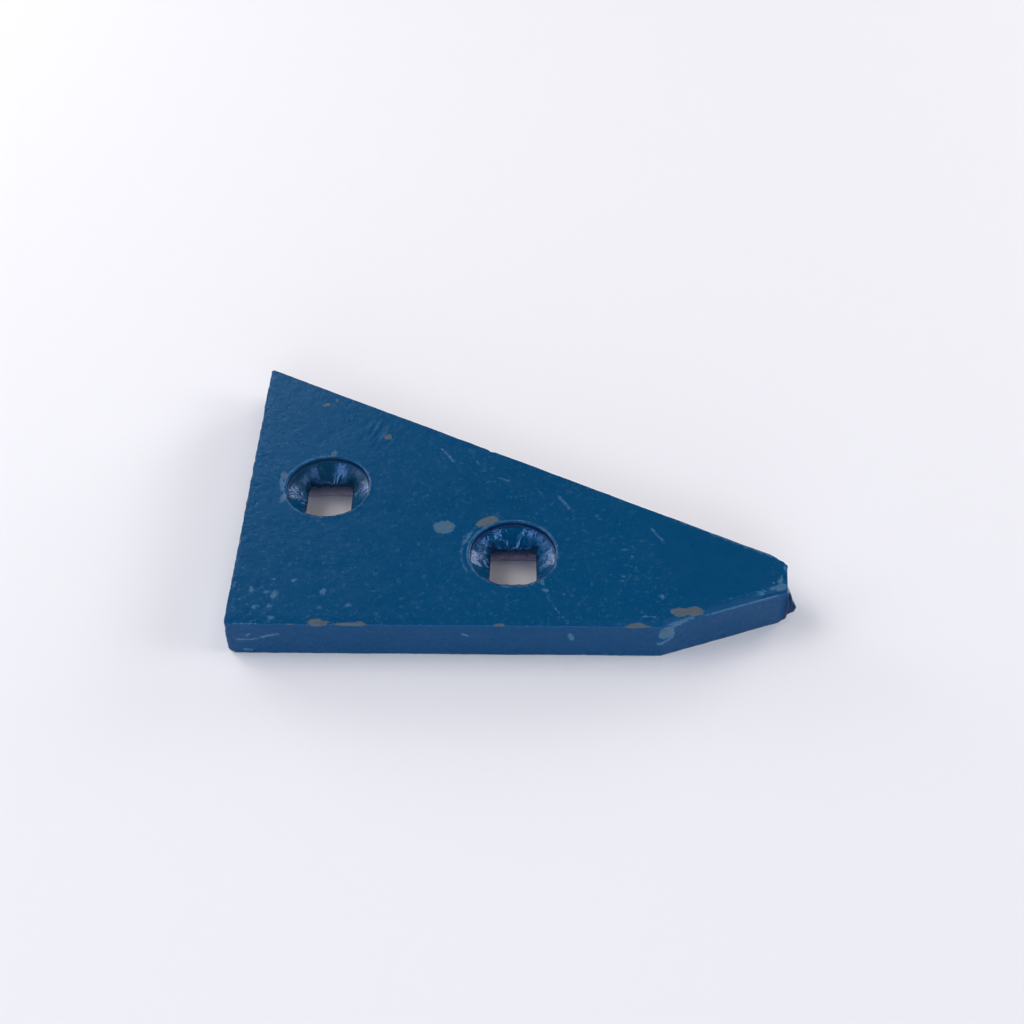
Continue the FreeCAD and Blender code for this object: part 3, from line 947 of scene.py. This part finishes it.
# Strength of a hairline's middle and of a scratch's, and how fast a scratch fades; a rubbed
# nick's share of its own width, and the depth at which it is rubbed fully
HAIRLINE = 0.85
SCRATCH = 1.4
SCRATCH_FALL = 1.2
NICK_WIDTH = 0.8
NICK_FULL = 0.17

# Wear along the square end and along the slope: where, gain and loss; the slope's half width
END_WEAR = (11, 0.5)
END_GAIN = 1.05
END_LOSS = 0.95
SLOPE_WEAR = (100, 152)
SLOPE_GAIN = 1.1
SLOPE_LOSS = 0.25
SLOPE_WIDTH = 1.6

# Slanted edge's hairline, worn paint and painted highlight: how far in and half width, both ends,
# strength, how far down
EDGE_WEAR_AND_HIGHLIGHT = (0.1, 0.3)
EDGE_WEAR_AND_HIGHLIGHT_START = (10, 18)
EDGE_WEAR_AND_HIGHLIGHT_END = (37, 33)
EDGE_WEAR_AND_HIGHLIGHT_PATCHES = (1.15, 0.45, 1.4, 19)
EDGE_WEAR_AND_HIGHLIGHT_DEPTH = 0.95

# Painted shade darkens the paint from 0 to 1, and darkens it further and dulls its gloss from 1 to
# 2
LAND_SHADE = 1.6
NEAR_RIM_SHADE = 1.9
SLIT_SHADE = 2
LIP_SHADE = 0.95
TURNED_SHADE = 1.4
SLOPE_SHADE = 0.8
WALL_SHADE = 0.38

# Where shade is painted in a hole: down the cone's foot, on the land, at the neck, over the near
# rim
FOOT_RAMP = (11.7, 12.15)
LAND_INNER = 12.0
LAND_MARGIN = 0.12
LAND_TOP = 0.25
NECK_SHADE = (0.65, 0.5, 0.9, 16)
NECK_NEAR = 0.2
NECK_TOP = 3.5
NEAR_RAMP = (-0.25, -0.6)
NEAR_MARGINS = (-0.1, 0.34)
NEAR_DEPTH = 0.5

# Where shade is painted at the tip: across and along the slit and up it; under the lip; on the
# turned edge; along the slope's rim
SLIT_BACK = (1.75, 1.05)
SLIT_FRONT = (0.15, 0.35)
SLIT_PAST = (1.7, 1.1)
SLIT_LOW = (7.2, 8.2)
SLIT_HIGH = (11.9, 11.2)
LIP_PAST = (0.8, 1.6)
LIP_LOW = (8.0, 5.5)
TURNED_BEHIND = 0.95
TURNED_LOW = (1.0, 2.5)
TURNED_HIGH = (12.3, 11.3)
SLOPE_RIM = (0.35, 0.1)
SLOPE_DEPTH = 1.5

# Where the upper hole's far cone is even and its paint darkened as painted shade, but for one spot
# left lighter as a painted glint
CALM_RAMP = (1.5, 4.0)
GLINT = (2.6, 1.6)
GLINT_SHARE = 0.35

# Dust settles on the square end and in the front corner: shares and where
END_DUST = 0.6
END_DUST_RAMP = (14, 0)
CORNER_DUST = 0.5
CORNER_DUST_ALONG = (70, 20)
CORNER_DUST_ACROSS = (50, 20)


def blob(x, y, place, length, width, turn=0):
    """1 in the middle of an oval spot, 0 at its rim, and below 0 outside it."""
    cx, cy = place
    c = math.cos(math.radians(turn))
    s = math.sin(math.radians(turn))
    u = ((x - cx) * c + (y - cy) * s) / length
    v = ((y - cy) * c - (x - cx) * s) / width
    return 1 - np.hypot(u, v)


def raised(state, where, level):
    """The state of each point, raised to a level in one place."""
    return np.where(where, np.maximum(state, level), state)


def bare_state(points, on_face, wall, place):
    """Where the paint has gone: chips, and breakouts below the paint that ran into them."""
    x, y, z = points.T
    bare = np.full(len(points), -1.0)
    for chip in SHOW_CHIPS:
        bare = raised(bare, on_face, blob(x, y, *chip))
    for chip in WALL_CHIPS:
        bare = raised(bare, wall, blob(place, z, *chip))
    for hole in HOLES:
        inside = (off_point(points, hole) < HOLE_REACH) & (z < BREAKOUT_HEIGHT + BARE_ROOM)
        run = RUN_LEAST + RUN_MORE * smooth(*RUN_LEFT, x - hole[0])
        run = smooth(*RUN_FAR, y - hole[1]) * run * uneven(points, *RUN_ROUGH)
        bare = raised(bare, inside, (BREAKOUT_HEIGHT + BARE_ABOVE - run - z) * BARE_STEEP)
    return np.clip(bare, -1, 1)


def rubbed_and_highlit_state(points, on_face, wall, place, from_slope):
    """Where the paint is rubbed pale or painted pale as highlight: patches, rings, hairlines,
    edges, scratches, nicks.
    """
    x, y, z = points.T
    flat = points[:, :2]
    rubbed_and_highlit = np.full(len(points), -1.0)
    for rub in SHOW_RUBS:
        rubbed_and_highlit = raised(rubbed_and_highlit, on_face, blob(x, y, *rub))
    for *rub, steepness in SOLID_RUBS:
        film = np.minimum(blob(x, y, *rub) * steepness + FILM_START, FILM_MOST)
        rubbed_and_highlit = raised(rubbed_and_highlit, on_face, film)
    for rub in WALL_RUBS:
        film = np.minimum(blob(place, z, *rub) * WALL_FILM_STEEP, WALL_FILM_MOST)
        rubbed_and_highlit = raised(rubbed_and_highlit, wall & ~on_face, film)
    turned = np.abs(np.arctan2(y - LOWER_HOLE[1], LOWER_HOLE[0] - x) - ARC_LIE)
    arc = peak(off_point(points, LOWER_HOLE), *ARC) * smooth(*ARC_SPAN, turned) * ARC_GAIN
    rubbed_and_highlit = raised(rubbed_and_highlit, on_face, arc - ARC_LOSS)
    # pale rings on the beads are a painted highlight
    for hole, strength in BEAD_HIGHLIGHTS:
        ring = np.minimum(peak(off_point(points, hole), *BEAD_HIGHLIGHT) * BEAD_HIGHLIGHT_STEEP, 1)
        rubbed_and_highlit = raised(rubbed_and_highlit, on_face, ring * strength * uneven(points, *BEAD_HIGHLIGHT_PATCHES))
    for start, stop, width in FACE_LINES:
        rubbed_and_highlit = raised(rubbed_and_highlit, on_face, HAIRLINE - off_segment(flat, start, stop) / width)
    rubbed_and_highlit = raised(rubbed_and_highlit, on_face, smooth(*END_WEAR, x) * END_GAIN - END_LOSS)
    slope = (1 - from_slope / SLOPE_WIDTH) * smooth(*SLOPE_WEAR, x) * SLOPE_GAIN
    rubbed_and_highlit = raised(rubbed_and_highlit, on_face, slope - SLOPE_LOSS)
    along, across = along_slant(points)
    # pale hairline on the slanted edge: worn paint, and a painted highlight where the edge catches
    # light
    line = peak(across, *EDGE_WEAR_AND_HIGHLIGHT) * smooth(*EDGE_WEAR_AND_HIGHLIGHT_START, along)
    line *= smooth(*EDGE_WEAR_AND_HIGHLIGHT_END, along) * uneven(points, *EDGE_WEAR_AND_HIGHLIGHT_PATCHES)
    rubbed_and_highlit = raised(rubbed_and_highlit, z > THICK - EDGE_WEAR_AND_HIGHLIGHT_DEPTH, line)
    for start, stop, width in WALL_SCRATCHES:
        far = off_segment(np.column_stack([place, z]), start, stop)
        rubbed_and_highlit = raised(rubbed_and_highlit, wall, SCRATCH - SCRATCH_FALL * far / width)
    for start, stop, width, depth in STROKES:
        mark = 1 - off_segment(flat, start, stop) / (width * NICK_WIDTH)
        rubbed_and_highlit = raised(rubbed_and_highlit, on_face, mark * (depth / NICK_FULL))
    return np.clip(rubbed_and_highlit, -1, 2)


def shade_in_hole(points, hole):
    """Painted shade in a hole: darker paint on its land and cone foot, at its neck and over its
    near rim.
    """
    x, y, z = points.T
    beyond = y - hole[1]
    radius = off_point(points, hole)
    within = radius < RIM_RADIUS + LAND_MARGIN
    foot = smooth(*FOOT_RAMP, radius) * within
    reach = np.where(beyond > 0, uneven(points, *NECK_SHADE), NECK_NEAR)
    beside = np.maximum(np.abs(x - hole[0]), np.abs(beyond))
    neck = (beside < NECK_HALF + reach) & (z < THICK - NECK_TOP)
    land = LAND_SHADE * ((radius > LAND_INNER) & within)
    inner = np.maximum.reduce([foot, neck, land]) * (z < THICK - LAND_TOP)
    low, high = NEAR_MARGINS
    near = (radius > RIM_RADIUS + low) & (radius < RIM_RADIUS + high) & (z > THICK - NEAR_DEPTH)
    return NEAR_RIM_SHADE * smooth(*NEAR_RAMP, beyond / RIM_RADIUS) * near + inner


def painted_shade_state(points, inside, from_slope):
    """Painted shade: darker paint in the holes, the slit, under the lip, on the turned corner, the
    slope's rim and walls.
    """
    x, y, z = points.T
    past = x - TIP_REACH
    behind = y - TIP_SET_BACK
    # each mask below darkens the paint as painted shade: the slit, the lip's underside, the turned
    # corner, the slope's rim and the side walls
    slit = smooth(*SLIT_BACK, behind) * smooth(*SLIT_FRONT, behind) * smooth(*SLIT_PAST, past)
    slit *= smooth(*SLIT_LOW, z) * smooth(*SLIT_HIGH, z) * (past > -1)
    low_lip = smooth(*LIP_PAST, past) * smooth(*LIP_LOW, z)
    turned = (past > -0.05) & (behind < TURNED_BEHIND)
    turned = turned * smooth(*TURNED_LOW, z) * smooth(*TURNED_HIGH, z)
    rim = smooth(*SLOPE_RIM, from_slope) * (z > THICK - SLOPE_DEPTH)
    walls = (z < THICK - FACE_DEPTH) * (inside == 0)
    holes = shade_in_hole(points, UPPER_HOLE) + shade_in_hole(points, LOWER_HOLE)
    tip = [SLIT_SHADE * slit, LIP_SHADE * low_lip, TURNED_SHADE * turned]
    return np.maximum.reduce([holes, *tip, SLOPE_SHADE * rim, WALL_SHADE * walls])


def paint_state(points):
    """What the paint's material reads at each point, by name: about 0 to 1, at times to 2."""
    x, y, z = points.T
    along, across = along_slant(points)
    from_slope = (points[:, :2] - CORNERS[4]) @ SLOPE_IN
    on_face = z > THICK - FACE_DEPTH
    # the two sheared walls, and how far along them each point lies
    wall = (y < WALL_DEPTH) | ((x > FRONT_EDGE - 1) & (across < WALL_DEPTH))
    place = np.where(x > FRONT_EDGE, FRONT_EDGE + along, x)
    inside = np.zeros(len(points))
    for hole in HOLES:
        inside += off_point(points, hole) < HOLE_REACH
    inside *= z < THICK - RIM_LAND
    # the upper hole's far cone, which the shader darkens as painted shade, less so at its painted
    # glint
    calm = smooth(*CALM_RAMP, y - UPPER_HOLE[1]) * (off_point(points, UPPER_HOLE) < RIM_RADIUS)
    calm *= 1 - GLINT_SHARE * hump(x - UPPER_HOLE[0], *GLINT)
    dusty = END_DUST * smooth(*END_DUST_RAMP, x)
    dusty += CORNER_DUST * smooth(*CORNER_DUST_ALONG, x) * smooth(*CORNER_DUST_ACROSS, y)
    return {
        "bare": bare_state(points, on_face, wall, place),
        "rubbed_and_highlit": rubbed_and_highlit_state(points, on_face, wall, place, from_slope),
        "inside": inside,
        "depth": 1 - np.clip(z / BREAKOUT_HEIGHT, 0, 1),
        "painted_shade": painted_shade_state(points, inside, from_slope),
        "dusty": dusty * on_face,
        "calm": calm,
    }


# Materials


def colour(red, green, blue):
    """A colour given as it looks on a screen, 0 to 255, turned into what the shader wants."""
    out = []
    for part in (red, green, blue):
        part = part / 255
        out.append(part / 12.92 if part <= 0.04045 else ((part + 0.055) / 1.055) ** 2.4)
    return (*out, 1.0)


# Blue enamel: two tones, flecks, darker copies as painted shade once and twice and on the upper
# hole's even far cone; dust on it
PAINT = colour(0, 64, 103)
PAINT_LIGHTER = colour(0, 67, 107)
PAINT_FLECK = colour(14, 74, 112)
PAINT_SHADED = colour(0, 45, 80)
PAINT_DEEP_SHADE = colour(0, 12, 50)
PAINT_CALM_SHADE = colour(0, 44, 64)
PAINT_DUST = colour(60, 112, 150)
PAINT_GLINT = (0.24, 0.44, 1.0, 1.0)
# What rubbing leaves: a pale film, and a thinner one that lets the steel through; they also
# colour the painted highlights on the beads and along the slanted edge
FILM_AND_HIGHLIGHT = colour(104, 144, 176)
FILM_THIN = colour(84, 112, 124)
# Steel: its two tones, rust on it, its rim beside the paint; a breakout's wall, dark at its top as
# painted shade and near white at its foot as painted light
STEEL = colour(62, 82, 94)
STEEL_LIGHTER = colour(86, 91, 96)
STEEL_RUST = colour(104, 88, 70)
STEEL_RIM = colour(92, 86, 76)
BREAKOUT_SHADED_TOP = colour(96, 100, 122)
BREAKOUT_LIT_FOOT = colour(242, 240, 244)
PAPER = colour(240, 238, 241)


class Nodes:
    """Short calls for the few kinds of shader node that the materials use."""

    def __init__(self, name):
        self.material = bpy.data.materials.new(name)
        self.material.use_nodes = True
        self.tree = self.material.node_tree
        self.tree.nodes.clear()
        self.output = self.tree.nodes.new("ShaderNodeOutputMaterial")
        self.place = self.tree.nodes.new("ShaderNodeTexCoord").outputs["Object"]

    def fill(self, socket, value):
        if isinstance(value, bpy.types.NodeSocket):
            self.tree.links.new(value, socket)
        else:
            socket.default_value = value

    def make(self, kind, **inputs):
        """A node of one kind, with its sockets filled by name."""
        node = self.tree.nodes.new("ShaderNode" + kind)
        for name, value in inputs.items():
            self.fill(node.inputs[name.replace("_", " ")], value)
        return node

    def noise(self, scale, detail, rough=0.55):
        inputs = {"Vector": self.place, "Scale": scale, "Detail": detail, "Roughness": rough}
        return self.make("TexNoise", **inputs).outputs["Fac"]

    def spread(self, value, low, high, to_low=0.0, to_high=1.0):
        ends = {"From_Min": low, "From_Max": high, "To_Min": to_low, "To_Max": to_high}
        return self.make("MapRange", Value=value, **ends).outputs["Result"]

    def maths(self, kind, first, second):
        node = self.make("Math")
        node.operation = kind
        self.fill(node.inputs[0], first)
        self.fill(node.inputs[1], second)
        return node.outputs[0]

    def mix(self, factor, first, second):
        node = self.make("Mix")
        node.data_type = "RGBA"
        self.fill(node.inputs[0], factor)
        self.fill(node.inputs[6], first)
        self.fill(node.inputs[7], second)
        return node.outputs[2]

    def reading(self, name):
        node = self.make("Attribute")
        node.attribute_name = name
        return node.outputs["Fac"]

    def bump(self, height, strength, distance, after=None):
        node = self.make("Bump", Height=height, Strength=strength, Distance=distance)
        if after is not None:
            self.fill(node.inputs["Normal"], after)
        return node.outputs["Normal"]

    def surface(self, **inputs):
        shader = self.make("BsdfPrincipled", **inputs)
        self.fill(self.output.inputs["Surface"], shader.outputs[0])
        return self.material


def painted_steel():
    """Blue enamel on rough steel: chipped to grey-brown metal, rubbed pale, with painted shade and
    highlights.
    """
    n = Nodes("painted_steel")
    fine = n.noise(900, detail=4)
    medium = n.noise(180, detail=3)
    broad = n.noise(24, detail=2)
    inside = n.reading("inside")
    calm = n.reading("calm")
    painted_shade = n.reading("painted_shade")
    worn_and_highlit = n.reading("rubbed_and_highlit")

    # how bare, rubbed or painted pale as highlight, and dusty each spot is: the state it reads,
    # with a ragged edge
    ragged = n.spread(n.noise(640, detail=7, rough=0.7), 0.25, 0.75, -0.42, 0.42)
    bareness = n.maths("ADD", n.reading("bare"), ragged)
    bare = n.spread(bareness, -0.02, 0.12)
    speckled = n.spread(n.noise(800, detail=6, rough=0.75), 0.25, 0.75, -0.8, 0.5)
    rubbed_and_highlit = n.spread(n.maths("ADD", worn_and_highlit, speckled), 0.0, 0.6)
    dusty = n.maths("MULTIPLY", n.reading("dusty"), 0.085)
    dust = n.maths("ADD", n.noise(640, detail=2, rough=0.5), dusty)
    dust = n.spread(dust, 0.744, 0.79)

    paint = n.mix(n.spread(broad, 0.3, 0.7), PAINT, PAINT_LIGHTER)
    paint = n.mix(n.spread(fine, 0.35, 0.85, 0, 0.16), paint, PAINT_FLECK)
    # painted shade: darker copies of the paint where shade falls
    paint = n.mix(n.spread(painted_shade, 0, 1), paint, PAINT_SHADED)
    paint = n.mix(n.spread(painted_shade, 1, 2), paint, PAINT_DEEP_SHADE)
    # upper hole's far cone: a darker copy of the paint as painted shade
    paint = n.mix(n.maths("MULTIPLY", calm, 0.7), paint, PAINT_CALM_SHADE)
    paint = n.mix(n.maths("MULTIPLY", dust, 0.5), paint, PAINT_DUST)
    # pale film: rubbed paint, and also the painted highlights on the beads and the slanted edge
    strength = n.spread(worn_and_highlit, 0.8, 1.8, 0.4, 0.85)
    film = n.mix(n.spread(worn_and_highlit, 0.6, 1.1), FILM_AND_HIGHLIGHT, FILM_THIN)
    paint = n.mix(n.maths("MULTIPLY", rubbed_and_highlit, strength), paint, film)

    mottled = n.spread(n.noise(300, detail=5, rough=0.7), 0.35, 0.65)
    metal = n.mix(mottled, STEEL, STEEL_LIGHTER)
    metal = n.mix(n.spread(fine, 0.55, 0.8, 0, 0.35), metal, STEEL_RUST)
    metal = n.mix(n.spread(bareness, 0.1, 0.6, 0.45, 0), metal, STEEL_RIM)
    # breakout walls: painted shade darkens them towards the neck, painted light pales them towards
    # the floor
    shaded_lining = n.mix(n.maths("POWER", n.reading("depth"), 1.8), BREAKOUT_SHADED_TOP, BREAKOUT_LIT_FOOT)
    metal = n.mix(inside, metal, shaded_lining)

    gloss = n.spread(medium, 0.3, 0.7, 0.24, 0.32)
    gloss = n.maths("SUBTRACT", gloss, n.maths("MULTIPLY", inside, 0.14))
    for state, dulling in ((rubbed_and_highlit, 0.08), (bare, 0.3)):
        gloss = n.maths("ADD", gloss, n.maths("MULTIPLY", state, dulling))
    gloss = n.maths("ADD", gloss, n.spread(painted_shade, 1, 2, 0, 0.5))
    gloss = n.maths("ADD", gloss, n.maths("MULTIPLY", calm, 0.12))

    # orange peel, grain, the punch's hammering inside a hole, and the step at a chip's rim
    peel = n.bump(n.noise(420, detail=3, rough=0.5), 0.25, 0.0003)
    grain = n.bump(fine, 0.18, 0.0004, peel)
    strength = n.maths("SUBTRACT", n.maths("MULTIPLY", inside, 0.5), n.maths("MULTIPLY", calm, 0.4))
    hammered = n.bump(n.noise(1500, detail=1, rough=0.5), strength, 0.00016, grain)
    step = n.bump(n.spread(bare, 0, 1, 1, 0), 0.9, 0.00012, hammered)
    return n.surface(
        Base_Color=n.mix(bare, paint, metal),
        Metallic=n.maths("MULTIPLY", inside, bare),
        Roughness=gloss,
        Specular_Tint=PAINT_GLINT,
        Specular_IOR_Level=0.4,
        Normal=step,
    )


def pale_floor():
    """Plain pale paper under the part."""
    n = Nodes("pale_floor")
    return n.surface(Base_Color=PAPER, Roughness=0.9, Specular_IOR_Level=0.1)


# Building the piece

mesh, points = make_plate()
for name, values in paint_state(points).items():
    attribute = mesh.attributes.new(name, "FLOAT", "POINT")
    attribute.data.foreach_set("value", values.astype(np.float32))
mesh.shade_smooth()
plate = bpy.data.objects.new("landside_plate", mesh)
bpy.context.scene.collection.objects.link(plate)
mesh.materials.append(painted_steel())
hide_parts("landside")
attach(plate, "root")

# Stage

FLOOR_SIZE = 3.0
# just enough below the part that the two surfaces don't share one plane
FLOOR_DROP = 0.00002
half = FLOOR_SIZE / 2
floor_corners = [(-half, -half, 0), (half, -half, 0), (half, half, 0), (-half, half, 0)]
floor_mesh = bpy.data.meshes.new("floor")
floor_mesh.from_pydata(floor_corners, [], [(0, 1, 2, 3)])
floor = bpy.data.objects.new("floor", floor_mesh)
bpy.context.scene.collection.objects.link(floor)
floor_mesh.materials.append(pale_floor())
floor.location.z = -FLOOR_DROP

# Soft boxes: name, azimuth, elevation, distance, width, height, brightness and tint.
# Azimuth 0 is behind the part, as the camera sees it, and 90 is to its right.
SOFT_BOXES = [
    ("left_key", -68, 47, 1.2, 0.90, 0.60, 3.5, (1.0, 0.962, 0.95)),
    ("left_top_box", -100, 66, 1.1, 0.30, 0.30, 1.3, (0.90, 0.90, 1.0)),
    ("right_top_box", 100, 66, 1.1, 0.30, 0.30, 2.0, (0.97, 0.953, 1.0)),
    ("back_right_box", 50, 66, 1.1, 0.30, 0.30, 1.9, (0.99, 0.99, 1.0)),
    ("top_front_box", 180, 74, 1.1, 0.45, 0.30, 1.2, (0.96, 0.945, 1.0)),
    ("left_low_box", -51, 11, 1.3, 0.70, 0.44, 7.1, (1.0, 0.96, 0.955)),
    ("right_low_box", 51, 11, 1.3, 0.70, 0.44, 9.3, (1.0, 0.955, 0.96)),
    ("back_left_box", -25, 31, 1.2, 0.50, 0.36, 2.2, (0.77, 0.94, 1.0)),
    ("front_box", 180, 25, 1.3, 1.10, 0.30, 3.9, (0.80, 0.86, 1.0)),
    ("front_low_box", 180, 8, 1.3, 1.10, 0.30, 6.3, (0.66, 0.94, 1.0)),
    ("left_wide_box", -95, 26, 1.2, 0.50, 0.36, 4.2, (0.95, 0.965, 1.0)),
    ("right_wide_box", 95, 26, 1.2, 0.50, 0.36, 6.7, (1.0, 0.98, 0.99)),
]
# These light nothing, and show only as sheen
SHEEN_BOXES = [
    ("left_side_box", -133, 48, 1.1, 0.20, 0.36, 15.0, (0.90, 0.95, 1.0)),
    ("right_side_box", 131, 48, 1.1, 0.20, 0.36, 12.0, (0.95, 0.95, 1.0)),
]


def soft_light(name, azimuth, elevation, distance, width, height, glow, tint, sheen_only=False):
    """A rectangular soft box of one brightness that faces the part from one direction."""
    data = bpy.data.lights.new(name, "AREA")
    data.shape = "RECTANGLE"
    data.size = width
    data.size_y = height
    data.energy = glow * math.pi * width * height
    data.color = tint
    lamp = bpy.data.objects.new(name, data)
    bpy.context.scene.collection.objects.link(lamp)
    lamp.visible_diffuse = not sheen_only
    az = math.radians(azimuth)
    el = math.radians(elevation)
    aim = Vector((math.sin(az) * math.cos(el), math.cos(az) * math.cos(el), math.sin(el)))
    lamp.location = aim * distance
    lamp.rotation_euler = aim.to_track_quat("Z", "Y").to_euler()


for box in SOFT_BOXES:
    soft_light(*box)
for box in SHEEN_BOXES:
    soft_light(*box, sheen_only=True)

# Where the room's light starts to fall and has fallen, as heights on a unit ball, and both levels
ROOM_FALL = (0.45, 0.68, 0.375, 0.03)
ROOM_TINT = (0.80, 0.86, 1.0, 1.0)


def room_light():
    """Soft light from all round, bright from the horizon to half-way up and dim above."""
    world = bpy.data.worlds.new("room")
    bpy.context.scene.world = world
    world.use_nodes = True
    nodes = world.node_tree.nodes
    links = world.node_tree.links
    split = nodes.new("ShaderNodeSeparateXYZ")
    links.new(nodes.new("ShaderNodeTexCoord").outputs["Generated"], split.inputs[0])
    fall = nodes.new("ShaderNodeMapRange")
    fall.interpolation_type = "SMOOTHSTEP"
    links.new(split.outputs["Z"], fall.inputs["Value"])
    for key, value in zip(("From Min", "From Max", "To Min", "To Max"), ROOM_FALL):
        fall.inputs[key].default_value = value
    background = nodes["Background"]
    background.inputs["Color"].default_value = ROOM_TINT
    links.new(fall.outputs["Result"], background.inputs["Strength"])


room_light()

scene = bpy.context.scene
scene.view_settings.view_transform = "Standard"

# Camera: solved from the photograph, as a place and a direction in the drawing's frame
FOCAL_PIXELS = 1500.0
FRAME_PIXELS = 1024.0
SENSOR = 36.0
CAMERA_PLACE = Vector((84.45, -267.06, 330.01))
CAMERA_YAW = math.radians(-0.964)
CAMERA_PITCH = math.radians(45.576)
CAMERA_ROLL = math.radians(-0.290)

camera_data = bpy.data.cameras.new("camera")
camera_data.sensor_width = SENSOR
camera_data.lens = FOCAL_PIXELS / FRAME_PIXELS * SENSOR
camera = bpy.data.objects.new("camera", camera_data)
scene.collection.objects.link(camera)
ahead = Vector(
    (
        math.sin(CAMERA_YAW) * math.cos(CAMERA_PITCH),
        math.cos(CAMERA_YAW) * math.cos(CAMERA_PITCH),
        -math.sin(CAMERA_PITCH),
    )
)
level = Vector((math.cos(CAMERA_YAW), -math.sin(CAMERA_YAW), 0))
upright = level.cross(ahead)
right = level * math.cos(CAMERA_ROLL) + upright * math.sin(CAMERA_ROLL)
up = upright * math.cos(CAMERA_ROLL) - level * math.sin(CAMERA_ROLL)
place = (CAMERA_PLACE + Vector((CORNER_X, CORNER_Y, 0))) * MM
turn = Matrix((right, up, -ahead)).transposed()
camera.matrix_world = Matrix.Translation(place) @ turn.to_4x4()
scene.camera = camera
